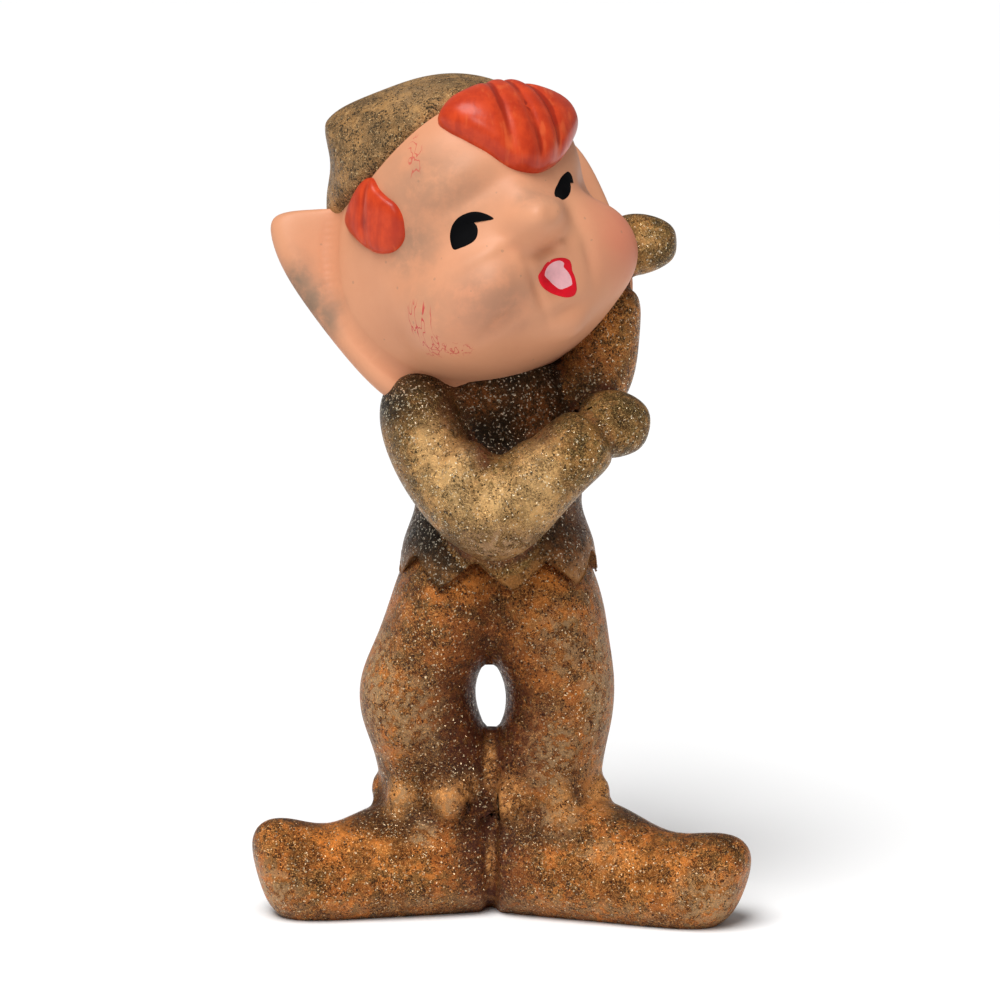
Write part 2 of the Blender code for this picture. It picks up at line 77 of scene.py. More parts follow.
def roundShare(sides):
    # How far inside a ring of so many controls its spline runs: (2 + cos(2 pi / sides)) / 3
    return (2 + math.cos(2 * math.pi / sides)) / 3


def limbNet(stations, sides=8):
    # Rings square to a path. Each station is (x, y, z, half width, half depth) in mm:
    # ring(a) = centre + (side x width x cos a + rise x depth x sin a) / share
    rows = np.array(stations, float) * mm
    centre, across, deep = rows[:, None, :3], rows[:, None, 3:4], rows[:, None, 4:5]
    along = np.gradient(rows[:, :3], axis=0)
    side = np.cross(along, (0.0, -1.0, 0.0))
    side = side / np.linalg.norm(side, axis=1, keepdims=True)
    rise = np.cross(side, along)
    rise = rise / np.linalg.norm(rise, axis=1, keepdims=True)
    angle = (2 * math.pi * np.arange(sides) / sides)[None, :, None]
    ring = side[:, None] * across * np.cos(angle) + rise[:, None] * deep * np.sin(angle)
    return centre + ring / roundShare(sides)


def levelNet(stations, sides=8):
    # Level rings: each station is (x, y, z, half width, half depth) in mm
    rows = np.array(stations, float) * mm
    angle = 2 * math.pi * np.arange(sides) / sides
    ring = np.stack([np.cos(angle), np.sin(angle), 0 * angle], axis=-1)[None] / roundShare(sides)
    reach = np.stack([rows[:, 3], rows[:, 4], 0 * rows[:, 3]], axis=-1)[:, None]
    return rows[:, None, :3] + ring * reach


def closedSkin(grid):
    # Points, quads and end fans of a closed skin
    rows, columns = grid.shape[:2]
    points = np.vstack([grid[0, 0], grid[1:-1].reshape(-1, 3), grid[-1, 0]])
    index = 1 + np.arange((rows - 2) * columns).reshape(rows - 2, columns)
    after = np.roll(index, -1, axis=1)
    quads = np.stack([index[:-1], after[:-1], after[1:], index[1:]], axis=-1).reshape(-1, 4)
    low = np.stack([np.zeros(columns, int), after[0], index[0]], axis=-1)
    high = np.stack([np.full(columns, len(points) - 1), index[-1], after[-1]], axis=-1)
    return points, quads, np.vstack([low, high])


def onceRound(columns):
    # The bearing of each column
    return np.arange(columns)[None] * 2 * math.pi / columns


def twoLayers(top, under, layer):
    # Closed skin that runs out over the top to its edge and back underneath
    return closedSkin(np.concatenate([layer(top[:, None], True), layer(under[:, None], False)]))


def ovalSkin(x, y, wide, deep, angle, z, ends):
    # Level ovals drawn to a point at each end: point = (x + wide cos a, y + deep sin a, z), in mm
    grid = np.stack(np.broadcast_arrays(x + wide * np.cos(angle), y + deep * np.sin(angle), z), axis=-1) * mm
    low, high = (np.broadcast_to(np.array(end) * mm, (1,) + grid.shape[1:]) for end in ends)
    return closedSkin(np.concatenate([low, grid, high]))


def throughKnots(knots, place):
    # Closed smooth curve: knot k lies at place k, and its slope there is half of next - last
    low = np.floor(place).astype(int)
    t = (place - low).reshape(place.shape + (1,) * (knots.ndim - 1))
    a, b, c, d = (knots[(low + shift) % len(knots)] for shift in (-1, 0, 1, 2))
    return 0.5 * (2 * b + (c - a) * t + (2 * a - 5 * b + 4 * c - d) * t**2 + (3 * b - a - 3 * c + d) * t**3)


def smoothThrough(levels, values, at):
    # Cubic through the values: Hermite pieces whose slopes are the central differences
    levels, values = np.array(levels, float), np.array(values, float)
    slopes = np.gradient(values, levels)
    low = np.clip(np.searchsorted(levels, at) - 1, 0, len(levels) - 2)
    span = levels[low + 1] - levels[low]
    t = np.clip((at - levels[low]) / span, 0, 1)
    start = (2 * t**3 - 3 * t**2 + 1) * values[low] + (t**3 - 2 * t**2 + t) * span * slopes[low]
    return start + (3 * t**2 - 2 * t**3) * values[low + 1] + (t**3 - t**2) * span * slopes[low + 1]


def outsideOval(x, y, middleX, middleY, wide, deep):
    # Distance outside an oval, taken along the radius
    return (np.hypot((x - middleX) / wide, (y - middleY) / deep) - 1) * 0.5 * (wide + deep)


def meshFrom(name, skins):
    # One mesh of several closed skins, each turned to face outwards
    starts = np.cumsum([0] + [len(skin[0]) for skin in skins[:-1]])
    points = np.vstack([skin[0] for skin in skins])
    quads = np.vstack([skin[1] + start for skin, start in zip(skins, starts)])
    fans = np.vstack([skin[2] + start for skin, start in zip(skins, starts)])
    mesh = bpy.data.meshes.new(name)
    mesh.from_pydata(points.tolist(), [], quads.tolist() + fans.tolist())
    work = bmesh.new()
    work.from_mesh(mesh)
    bmesh.ops.recalc_face_normals(work, faces=work.faces)
    work.to_mesh(mesh)
    work.free()
    mesh.shade_smooth()
    return mesh


def newObject(name, data):
    item = bpy.data.objects.new(name, data)
    bpy.context.scene.collection.objects.link(item)
    return item


def addPiece(name, mesh, material, slot, nodes=()):
    piece = newObject(name, mesh)
    mesh.materials.append(material)
    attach(piece, "root")
    if nodes:
        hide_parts(*nodes)


# Castings. Skins that the mould made as one are swollen, run together, and shrunk back,
# which leaves a round fillet in each crease. Each casting is then shared out to its pieces.

def pointNormals(points, quads):
    # Each quad's normal is the cross product of its diagonals, summed at its corners
    a, b, c, d = (points[quads[:, k]] for k in range(4))
    across = np.repeat(np.cross(c - a, d - b), 4, axis=0)
    total = np.stack([np.bincount(quads.ravel(), column, len(points)) for column in across.T], axis=-1)
    return total / np.maximum(np.linalg.norm(total, axis=1, keepdims=True), 1e-12)


def neighbourMean(values, quads):
    # Mean of the values at the far ends of a point's edges
    start, end = quads.ravel(), np.roll(quads, -1, axis=1).ravel()
    count = np.bincount(start, minlength=len(values))
    sums = [np.bincount(start, column[end], len(values)) for column in values.T]
    return np.stack(sums, axis=-1) / np.maximum(count, 1)[:, None]


def soften(points, quads, rounds):
    # Moves each point half way to its neighbours' mean and then back out by a little more,
    # which takes the grain off the skin and keeps its size
    for _ in range(rounds):
        points = points + 0.5 * (neighbourMean(points, quads) - points)
        points = points - 0.52 * (neighbourMean(points, quads) - points)
    return points


def castTogether(name, skins, form):
    fillet, rounds = form["fillet"], form["rounds"]
    swollen = meshFrom(name, skins)
    start, normals = np.zeros((2, len(swollen.vertices) * 3))
    swollen.vertices.foreach_get("co", start)
    swollen.vertices.foreach_get("normal", normals)
    swollen.vertices.foreach_set("co", start + normals * fillet * mm)
    item = newObject(name, swollen)
    remesh = item.modifiers.new("Run together", "REMESH")
    remesh.mode = "VOXEL"
    remesh.voxel_size = form["grain"] * mm
    result = item.evaluated_get(bpy.context.evaluated_depsgraph_get()).to_mesh()
    points = np.zeros(len(result.vertices) * 3)
    result.vertices.foreach_get("co", points)
    points = points.reshape(-1, 3)
    corners = np.zeros(len(result.loops), np.int32)
    result.loops.foreach_get("vertex_index", corners)
    quads = corners.reshape(-1, 4).astype(int)
    bpy.data.objects.remove(item)
    bpy.data.meshes.remove(swollen)
    points = soften(points, quads, rounds)
    points = points - pointNormals(points, quads) * fillet * mm
    points = soften(points, quads, rounds)
    print(name, "cast:", len(points), "points")
    return points, quads


def hollowness(points, quads, rounds=24):
    # How far the skin lies below the mean of its surroundings, in mm: above 0 in a crease
    mean = points
    for _ in range(rounds):
        mean = neighbourMean(mean, quads)
    return np.sum((mean - points) * pointNormals(points, quads), axis=1) / mm


ownerRounds = 6


def shareOut(casting, owners, rows, rim=None):
    # Gives each piece the faces it owns, closes it inside, and keeps the casting's own normals,
    # so that no seam shows where two pieces meet. Each row is (name, material, slot, nodes)
    points, quads = casting
    normals = pointNormals(points, quads)
    marks = {"hollow": hollowness(points, quads)}
    if rim is not None:
        marks["rim"] = rim
    for _ in range(ownerRounds):
        owners = neighbourMean(owners, quads)
    owner = np.argmin(owners[quads].mean(axis=1), axis=1)
    for number, (name, material, slot, nodes) in enumerate(rows):
        used, faces = np.unique(quads[owner == number], return_inverse=True)
        mesh = bpy.data.meshes.new(name)
        mesh.from_pydata(points[used].tolist(), [], faces.reshape(-1, 4).tolist())
        work = bmesh.new()
        work.from_mesh(mesh)
        rims = [edge for edge in work.edges if edge.is_boundary]
        lids = bmesh.ops.holes_fill(work, edges=rims, sides=0)["faces"]
        bmesh.ops.poke(work, faces=lids)
        work.to_mesh(mesh)
        work.free()
        extra = len(mesh.vertices) - len(used)
        for label, values in marks.items():
            mark = mesh.attributes.new(label, "FLOAT", "POINT")
            mark.data.foreach_set("value", np.concatenate([values[used], np.zeros(extra)]))
        mesh.shade_smooth()
        kept = np.vstack([normals[used], np.zeros((extra, 3))])
        mesh.normals_split_custom_set_from_vertices(kept.tolist())
        addPiece(name, mesh, material, slot, nodes)
        print("  ", name, len(mesh.polygons), "faces")


def limbField(points, stations):
    # Distance from the nearest point of the limb's path, less its radius there, in mm
    rows = np.array(stations, float)
    steps = np.linspace(0, len(rows) - 1, 60)
    path = np.stack([np.interp(steps, np.arange(len(rows)), column) for column in rows.T], axis=-1)
    away = np.linalg.norm(points[:, None] / mm - path[None, :, :3], axis=-1)
    return (away - 0.5 * (path[:, 3] + path[:, 4])).min(axis=1)


# Paint. Nodes are added by short calls, and effects that several paints share are groups.

origin = (0, 0, 0)
half = (0.5, 0.5, 0.5)


class Wires:
    # A node tree. Each call adds nodes and gives an output, and takes values or outputs

    def __init__(self, tree):
        self.tree = tree

    def fill(self, node, inputs):
        for key, value in inputs.items():
            if isinstance(value, bpy.types.NodeSocket):
                self.tree.links.new(value, node.inputs[key])
            else:
                node.inputs[key].default_value = value
        return node.outputs

    def node(self, kind, inputs=None, **settings):
        node = self.tree.nodes.new("ShaderNode" + kind)
        for key, value in settings.items():
            setattr(node, key, value)
        return self.fill(node, inputs or {})

    def group(self, group, **inputs):
        return self.node("Group", inputs, node_tree=group)

    def mark(self, name):
        return self.node("Attribute", attribute_name=name)["Fac"]

    def calc(self, operation, *values, clamp=False):
        return self.node("Math", dict(enumerate(values)), operation=operation, use_clamp=clamp)[0]

    def times(self, first, second):
        return self.calc("MULTIPLY", first, second)

    def rest(self, value):
        return self.calc("SUBTRACT", 1.0, value)

    def remap(self, value, low, high, toLow=0.0, toHigh=1.0):
        inputs = {"Value": value, "From Min": low, "From Max": high, "To Min": toLow, "To Max": toHigh}
        return self.node("MapRange", inputs, interpolation_type="SMOOTHSTEP")[0]

    def mix(self, factor, first, second, blend="MIX"):
        return self.node("Mix", {0: factor, 6: first, 7: second}, data_type="RGBA", blend_type=blend)[2]

    def vector(self, operation, first, second=origin):
        return self.node("VectorMath", {0: first, 1: second}, operation=operation)[0]

    def leant(self, place, lean, amount):
        # A vector pushed by another times an amount
        pushed = self.node("VectorMath", {0: lean, "Scale": amount}, operation="SCALE")[0]
        return self.vector("ADD", place, pushed)

    def noise(self, place, size, detail, **more):
        # Noise of a size in mm
        return self.node("TexNoise", {"Vector": place, "Scale": 1 / (size * mm), "Detail": detail, **more})

    def cloud(self, place, size, distortion=0.0):
        # Soft noise, about 0.5 and mostly between 0.4 and 0.6
        return self.noise(place, size, 4.0, Roughness=0.62, Distortion=distortion)[0]

    def shaken(self, place, size, amount):
        # Places pushed about by noise, which makes the edge of a spot uneven
        centred = self.vector("SUBTRACT", self.noise(place, size, 3.0)["Color"], half)
        return self.leant(place, centred, amount * mm)

    def patches(self, place, size, cover, edge):
        # Cloudy patches of a size in mm that cover a given share of the surface
        return self.group(patches, Place=place, Size=size * mm, Cover=cover, Edge=edge)["Mask"]

    def spots(self, place, spots, edge):
        # The strongest of several soft ovals. Each is (middle, reach, strength), in mm
        total = None
        for middle, reach, strength in spots:
            oval = {"Middle": [m * mm for m in middle], "Reach": [r * mm for r in reach], "Edge": edge}
            mask = self.times(self.group(softSpot, Place=place, **oval)["Mask"], strength)
            total = mask if total is None else self.calc("MAXIMUM", total, mask)
        return total

    def bump(self, height, strength, depth, **more):
        return self.node("Bump", {"Height": height, "Strength": strength, "Distance": depth * mm, **more})[0]


def newGroup(name, given, build):
    # Group of nodes with the given inputs, whose outputs are what build makes of them
    tree = bpy.data.node_groups.new(name, "ShaderNodeTree")
    wires = Wires(tree)
    for label, value in given.items():
        kind = "NodeSocketFloat" if isinstance(value, float) else "NodeSocketVector"
        tree.interface.new_socket(label, in_out="INPUT", socket_type=kind).default_value = value
    made = build(wires, tree.nodes.new("NodeGroupInput").outputs)
    for label, value in made.items():
        kind = "NodeSocketVector" if value.type == "VECTOR" else "NodeSocketFloat"
        tree.interface.new_socket(label, in_out="OUTPUT", socket_type=kind)
    wires.fill(tree.nodes.new("NodeGroupOutput"), made)
    return tree


def softSpotNodes(wires, given):
    # 1 inside a soft oval, 0 outside: by the length of (place - middle) / reach
    share = wires.vector("DIVIDE", wires.vector("SUBTRACT", given["Place"], given["Middle"]), given["Reach"])
    length = wires.node("VectorMath", {0: share}, operation="LENGTH")["Value"]
    return {"Mask": wires.remap(length, wires.calc("ADD", 1.0, given["Edge"]), wires.rest(given["Edge"]))}


def patchNodes(wires, given):
    scale = wires.calc("DIVIDE", 1.0, given["Size"])
    inputs = {"Vector": given["Place"], "Scale": scale, "Detail": 4.0, "Roughness": 0.62}
    noise = wires.node("TexNoise", inputs)[0]
    middle = wires.remap(given["Cover"], 0.0, 1.0, 0.72, 0.28)
    low, high = (wires.calc(operation, middle, given["Edge"]) for operation in ("SUBTRACT", "ADD"))
    return {"Mask": wires.remap(noise, low, high)}


def flakeNodes(wires, given):
    # Glitter: a share of small cells is picked as flakes, each with its own tint and tilt
    shifted = wires.vector("ADD", given["Place"], given["Shift"])
    scale = wires.calc("DIVIDE", 1.0, given["Flake"])
    cells = wires.node("TexVoronoi", {"Vector": shifted, "Scale": scale, "Randomness": 1.0})
    parts = wires.node("SeparateColor", {0: cells["Color"]})
    picked = wires.calc("LESS_THAN", parts[0], given["Share"])
    mask = wires.times(picked, wires.remap(cells["Distance"], 0.60, 0.45))
    return {"Mask": mask, "Tint": parts[1], "Tilt": wires.vector("SUBTRACT", cells["Color"], half)}


softSpot = newGroup(
    "softSpot", {"Place": origin, "Middle": origin, "Reach": (1, 1, 1), "Edge": 0.5}, softSpotNodes,
)
patches = newGroup("patches", {"Place": origin, "Size": 0.002, "Cover": 0.5, "Edge": 0.15}, patchNodes)
flakes = newGroup("flakes", {"Place": origin, "Flake": 0.00035, "Share": 0.3, "Shift": 0.0}, flakeNodes)


def newMaterial(name, **settings):
    material = bpy.data.materials.new(name)
    material.use_nodes = True
    wires = Wires(material.node_tree)
    shader = material.node_tree.nodes["Principled BSDF"]
    wires.fill(shader, {key.replace("_", " "): value for key, value in settings.items()})
    return material, wires, shader, wires.node("TexCoord")["Object"]


# Sizes of the paint's mottling in mm: broad shading, wide and middling patches, clumps of grain
mottle = {
    "broad": 5.0, "wide": 2.4, "middling": 0.95, "clump": 1.7, "uneven": (2.0, 2.6), "frayed": (0.45, 0.5),
}


def glitterPaint(name, look):
    # Lustre over mottled paint, darkened in the creases by antiquing and painted shade, with painted
    # highlights in places, under hair-like grain and glitter flakes
    material, wires, shader, place = newMaterial(name, Specular_IOR_Level=0.2)
    calc, times, rest, remap, mix = wires.calc, wires.times, wires.rest, wires.remap, wires.mix
    uneven, frayed = wires.shaken(place, *mottle["uneven"]), wires.shaken(place, *mottle["frayed"])
    broad, wide, middling = (wires.cloud(place, mottle[key]) for key in ("broad", "wide", "middling"))
    clump, fine = wires.cloud(uneven, mottle["clump"]), wires.cloud(place, look["grain"], 3.0)

    colour = mix(remap(wide, 0.45, 0.56), look["colour"], look["second"])
    colour = mix(remap(middling, 0.51, 0.60, 0.0, 0.75), colour, look["third"])
    # Painted highlights on lit ridges, tops and knobs; on the jacket these spots are copper paint on the
    # hem's points
    colour = mix(wires.spots(uneven, look["highlightAndCopper"], 0.8), colour, look["highlightAndCopperColour"])
    colour = mix(1.0, colour, remap(broad, 0.38, 0.60, look["shade"], 1.15), "MULTIPLY")
    # Rubbed paint; on the trousers' collar knobs it also stands for a painted highlight
    wornAndLit = times(wires.spots(uneven, look["wornAndLit"], 0.7), remap(middling, 0.56, 0.44, 0.1, 1.0))
    colour = mix(wornAndLit, colour, look["wornAndLitColour"])
    # The rim mark is a band along the jacket's hem; on the trousers it is the hem's painted shadow
    colour = mix(times(wires.mark("rim"), 0.75), colour, look["hemBandAndShadowColour"])
    # Darker in the creases and the deep spots: antiquing there, and painted shade
    hollowDarkening = remap(wires.mark("hollow"), look["creaseFrom"], look["creaseTo"])
    crease = calc("MAXIMUM", hollowDarkening, wires.spots(uneven, look["deep"], 0.8))
    crease = times(crease, remap(middling, 0.40, 0.52, 0.55, 0.97))
    colour = mix(crease, colour, look["creaseColour"])
    # Black paint on the chest, waist and shoulder; on the trousers and the cap the same spots are painted
    # shade
    black = times(wires.spots(uneven, look["black"], 0.7), remap(middling, 0.40, 0.50, 0.75, 0.98))
    colour = mix(black, colour, look["blackColour"])
    # Painted highlights laid over all, and copper patches in the jacket's black paint
    finalHighlightAndCopper = times(wires.spots(frayed, look["finalHighlightAndCopper"], 0.7), remap(middling, 0.42, 0.54, 0.25, 1.0))
    colour = mix(finalHighlightAndCopper, colour, look["finalHighlightAndCopperColour"])

    calm = rest(times(wornAndLit, 0.8))
    quiet = rest(times(times(calc("MAXIMUM", black, crease), rest(finalHighlightAndCopper)), 0.85))
    lively = times(calm, remap(clump, 0.42, 0.58, 0.25, 1.45))
    pits = calc("MULTIPLY", remap(fine, 0.48, 0.42), times(lively, look["pits"]), clamp=True)
    colour = mix(pits, colour, look["darkColour"])
    ridges = times(remap(fine, 0.54, 0.61), times(quiet, look["ridges"]))
    colour = mix(ridges, colour, look["lightColour"])
    flake = look["flake"] * mm
    dark = wires.group(flakes, Place=frayed, Flake=flake, Share=times(lively, look["darkShare"]))
    colour = mix(times(dark["Mask"], 0.9), colour, look["darkColour"])
    share = times(calm, calc("ADD", look["brightShare"], times(black, 0.16)))
    light = wires.group(flakes, Place=frayed, Flake=0.8 * flake, Share=share, Shift=0.77)
    bright = times(light["Mask"], remap(light["Tint"], 0.0, 1.0, 0.3, 1.0))
    colour = mix(bright, colour, look["brightColour"])

    metal = calc("SUBTRACT", look["metallic"], times(wornAndLit, 0.8 * look["metallic"]))
    metal = calc("MAXIMUM", times(metal, rest(times(crease, 0.8))), light["Mask"])
    rough = remap(middling, 0.4, 0.6, look["rough"] - 0.08, look["rough"] + 0.10)
    rough = calc("SUBTRACT", calc("ADD", rough, times(wornAndLit, 0.15)), times(bright, look["rough"] - 0.2))
    normal = wires.leant(wires.node("NewGeometry")["Normal"], light["Tilt"], times(bright, look["tilt"]))
    normal = wires.leant(normal, dark["Tilt"], times(lively, 0.4 * look["tilt"]))
    height = calc("ADD", fine, times(middling, 0.8))
    raised = wires.bump(height, 0.8, 0.2, Normal=wires.vector("NORMALIZE", normal))
    wires.fill(shader, {"Base Color": colour, "Metallic": metal, "Roughness": rough, "Normal": raised})
    return material


# Head. A skull of three half axes with the face's relief, turned, rolled and tilted.

headForm = {
    "halfWidth": 17.0, "halfDepth": 18.2, "halfHeight": 21.0,
    "middle": (-2.8, 0.5, 90.1),
    "turn": 27.5, "roll": 23.0, "tilt": 11.0,
    "grain": 0.30, "fillet": 1.3, "rounds": 7,
}

# Humps of the face: height in mm, angle around from the nose, angle above it, width, height
faceHumps = [
    (4.2, -0.90, -0.46, 0.50, 0.34), (3.1, 0.90, -0.52, 0.46, 0.34),  # cheeks
    (3.2, 0.0, -0.07, 0.20, 0.14), (0.9, 0.0, 0.10, 0.16, 0.20),  # nose and its bridge
    (-0.9, 0.45, 0.12, 0.30, 0.20), (-0.9, -0.45, 0.12, 0.30, 0.20),  # eye hollows
    (-1.4, -0.95, 0.22, 0.40, 0.32), (-2.3, 1.00, -0.01, 0.36, 0.18),  # temples
    (1.8, 0.0, 0.74, 0.80, 0.34), (1.6, 1.10, 0.55, 0.40, 0.22),  # brow and its far corner
    (-2.8, 0.0, -1.57, 9.0, 0.55),  # throat
    (4.6, -1.98, -0.10, 0.33, 0.62),  # web between the near cheek and its ear
    (-1.7, 0.0, -0.50, 0.14, 0.13),  # mouth
    (0.9, 0.0, -0.90, 0.40, 0.24),  # chin
]

# Smaller humps that are pressed in after the casting is softened
faceDetails = [
    (0.8, -0.07, -0.08, 0.13, 0.11), (0.8, 0.13, -0.08, 0.13, 0.11),  # broad ball of the nose
    (0.5, 0.03, -0.17, 0.16, 0.07), (-0.6, 0.03, -0.08, 0.07, 0.06),  # its underside and blunt tip
    (-0.7, -0.24, -0.12, 0.09, 0.13), (-0.45, 0.34, -0.16, 0.10, 0.14),  # dips beside it
    (-1.1, 0.01, -0.30, 0.16, 0.055), (0.5, 0.12, -0.32, 0.045, 0.035),  # dip below it and the nostril
    (1.2, -0.46, -0.33, 0.19, 0.15), (0.45, -0.44, -0.13, 0.26, 0.05),  # near cheek, ledge below the eye
    (-0.7, -0.20, -0.53, 0.05, 0.18), (-0.45, 0.34, -0.48, 0.06, 0.18),  # folds beside the mouth
    (-0.6, 0.02, -0.77, 0.22, 0.055), (0.6, 0.03, -0.93, 0.26, 0.10),  # dip below the lip, and the chin
    (-0.6, -0.56, -0.58, 0.20, 0.055),  # shadow below the near cheek
    (-0.5, -0.30, 0.28, 0.30, 0.07), (0.4, -0.35, 0.44, 0.34, 0.08),  # fold over the near eye and the brow
]

headTurn = np.array(
    Euler((0, -headForm["roll"] * degree, 0)).to_matrix()
    @ Euler((0, 0, headForm["turn"] * degree)).to_matrix()
    @ Euler((-headForm["tilt"] * degree, 0, 0)).to_matrix()
)
headMiddle = np.array(headForm["middle"]) * mm


def fromHead(local):
    return local @ headTurn.T + headMiddle


def toHead(points):
    return (points - headMiddle) @ headTurn


def humpsAt(directions, humps):
    # Sum of height x exp(-(around offset / width)^2 - (above offset / height)^2), in metres
    x, y, z = np.moveaxis(directions, -1, 0)
    around, above = np.arctan2(x, -y), np.arcsin(np.clip(z, -1, 1))
    total = 0 * x
    for size, atAround, atAbove, wide, tall in humps:
        away = ((around - atAround) / wide) ** 2 + ((above - atAbove) / tall) ** 2
        total = total + size * mm * np.exp(-away)
    return total


def headReach(directions):
    # Distance of the skin from the middle: one over the length of the direction by the half axes,
    # plus the humps of the face
    x, y, z = np.moveaxis(directions, -1, 0)
    wide, deep, tall = (headForm[key] * mm for key in ("halfWidth", "halfDepth", "halfHeight"))
    return 1 / np.sqrt((x / wide) ** 2 + (y / deep) ** 2 + (z / tall) ** 2) + humpsAt(directions, faceHumps)


def direction(around, above):
    around, above = np.asarray(around, float), np.asarray(above, float)
    return np.stack([np.sin(around) * np.cos(above), -np.cos(around) * np.cos(above), np.sin(above)], axis=-1)


def onHead(directions, lift=0.0):
    return fromHead(directions * (headReach(directions) + lift)[..., None])


def headSkin(rows=240, columns=320):
    # A globe whose poles are the crown and the throat
    above = np.linspace(-math.pi / 2, math.pi / 2, rows)[:, None]
    return closedSkin(onHead(direction(*np.broadcast_arrays(onceRound(columns), above))))


# Ears. Long leaves: each level is (share of the height, reach, sweep back, thickness).

earForm = {
    "reach": 5.9, "sweep": 9.3, "bottom": -13.4, "thickness": 3.8, "slope": 5.0, "lip": 0.8,
    "standsOff": 0.45,
    "rootReach": 0.60, "front": ((0.12, 2.0), (0.50, -0.3)), "back": ((0.55, -1.4), (0.16, -1.3)),
    "top": {rightSide: 13.6, leftSide: 8.0},
    "levels": [
        (-0.20, -0.30, 0.40, 0.4), (-0.02, 0.36, 0.66, 0.8), (0.20, 0.70, 0.80, 0.9),
        (0.56, 0.94, 0.96, 1.0), (0.84, 1.06, 1.04, 1.0), (1.03, 0.90, 1.05, 1.0), (1.12, 0.62, 1.02, 0.8),
    ],
}


def earSkin(side):
    # The rim of the leaf stands out and back, its root lies in the head, and it is scooped between.
    # The front and back of each ring are (share of the way to the root, share of the thickness)
    top = earForm["top"][side]
    rings = []
    for level, reach, sweep, thick in earForm["levels"]:
        z = earForm["bottom"] + level * (top - earForm["bottom"])
        rimX = side * (headForm["halfWidth"] + reach * earForm["reach"])
        rim = np.array((rimX, sweep * earForm["sweep"], z))
        rootX = side * earForm["rootReach"] * headForm["halfWidth"]
        root = np.array((rootX, 0.1 * earForm["sweep"], z - level**2 * earForm["slope"]))
        run = rim - root
        outward = run / np.linalg.norm(run)
        front = np.array((outward[1], -outward[0], 0)) * side * 0.5 * thick * earForm["thickness"]
        ring = [rim + outward * earForm["lip"]]
        ring += [rim - run * along + front * off for along, off in earForm["front"]]
        ring += [root] + [rim - run * along + front * off for along, off in earForm["back"]]
        rings.append(ring)
    return closedSkin(netSkin(fromHead(np.array(rings) * mm), 140, 120))


skinLook = {
    "colour": (0.655, 0.305, 0.168, 1), "deeper": (0.55, 0.215, 0.108, 1),
    "grimeAndShadowColour": (0.20, 0.145, 0.10, 1), "blushColour": (0.66, 0.13, 0.09, 1),
    "scratchColour": (0.50, 0.025, 0.035, 1),
}


def headPlace(around, above):
    return tuple(onHead(direction(around, above)) / mm)


skinSpots = {
    "blush": [
        (headPlace(0.80, -0.42), (5.5, 5.5, 5.0), 0.42), (headPlace(-0.62, -0.40), (5.0, 5.0, 4.0), 0.10),
    ],
    "grimeAndShadow": [
        (headPlace(-0.62, 0.50), (7.5, 5.0, 4.5), 0.42),  # forehead
        (headPlace(-0.95, 0.22), (4.5, 4.0, 3.5), 0.60),  # temple
        (headPlace(0.02, 0.05), (3.2, 2.5, 1.6), 0.40),  # bridge of the nose
        (headPlace(-0.55, -0.40), (6.0, 4.0, 4.0), 0.42),  # near cheek
        (headPlace(-0.95, -0.25), (5.0, 4.0, 3.0), 0.30),  # below the side lock
        ((-26.8, -2.0, 85.6), (2.2, 7.0, 2.8), 0.85),  # painted shadow along the rolled edge of the near ear, in three places
        ((-25.2, -2.5, 83.2), (2.2, 7.0, 2.8), 0.85),
        ((-23.6, -3.0, 80.8), (2.2, 7.0, 2.8), 0.85),
    ],
    "scratched": [
        (headPlace(-1.07, -0.30), (2.0, 4.0, 2.4), 0.9), (headPlace(-1.10, -0.48), (1.6, 4.0, 2.0), 0.8),
        (headPlace(-0.95, -0.56), (2.2, 4.0, 1.0), 0.7), (headPlace(-0.58, 0.72), (0.9, 3.0, 3.4), 0.6),
    ],
}


def makeSkinPaint():
    # Satin peach, rubbed grey on the high places, with a blush on the far cheek; painted shade darkens its
    # hollows and the near ear's edge
    material, wires, shader, place = newMaterial("skinPaint", Roughness=0.50, Specular_IOR_Level=0.25)
    times, remap, mix = wires.times, wires.remap, wires.mix
    colour = mix(times(wires.patches(place, 9, 0.5, 0.3), 0.35), skinLook["colour"], skinLook["deeper"])
    # Painted shade in the hollows
    colour = mix(remap(wires.mark("hollow"), 0.05, 0.5, 0.0, 0.55), colour, skinLook["deeper"])
    uneven = wires.shaken(place, 4.0, 4.0)
    colour = mix(wires.spots(uneven, skinSpots["blush"], 0.9), colour, skinLook["blushColour"])
    broken = wires.patches(place, 2.6, 0.6, 0.25)
    # Grey rubbed dirt, and the painted shadow along the near ear's edge
    grimeAndShadow = times(wires.spots(uneven, skinSpots["grimeAndShadow"], 0.85), remap(broken, 0.0, 1.0, 0.25, 1.0))
    colour = mix(grimeAndShadow, colour, skinLook["grimeAndShadowColour"])
    specks = wires.group(flakes, Place=place, Flake=0.40 * mm, Share=0.004)["Mask"]
    colour = mix(times(specks, 0.3), colour, skinLook["grimeAndShadowColour"])
    stretch = {"Vector": place, "Rotation": (0.0, 0.6, 0.0), "Scale": (1.0, 1.0, 0.28)}
    drawn = wires.node("Mapping", stretch)[0]
    line = wires.calc("ABSOLUTE", wires.calc("SUBTRACT", wires.noise(drawn, 0.9, 1.0)[0], 0.52))
    scratch = times(remap(line, 0.032, 0.014), wires.spots(place, skinSpots["scratched"], 0.3))
    colour = mix(scratch, colour, skinLook["scratchColour"])
    fine = wires.node("TexNoise", {"Vector": place, "Scale": 900.0, "Detail": 3.0})[0]
    rough = remap(grimeAndShadow, 0.0, 1.0, 0.48, 0.66)
    wires.fill(shader, {"Base Color": colour, "Roughness": rough, "Normal": wires.bump(fine, 0.25, 0.1)})
    return material


skinPaint = makeSkinPaint()
headCasting = castTogether("headCasting", [headSkin(), earSkin(rightSide), earSkin(leftSide)], headForm)


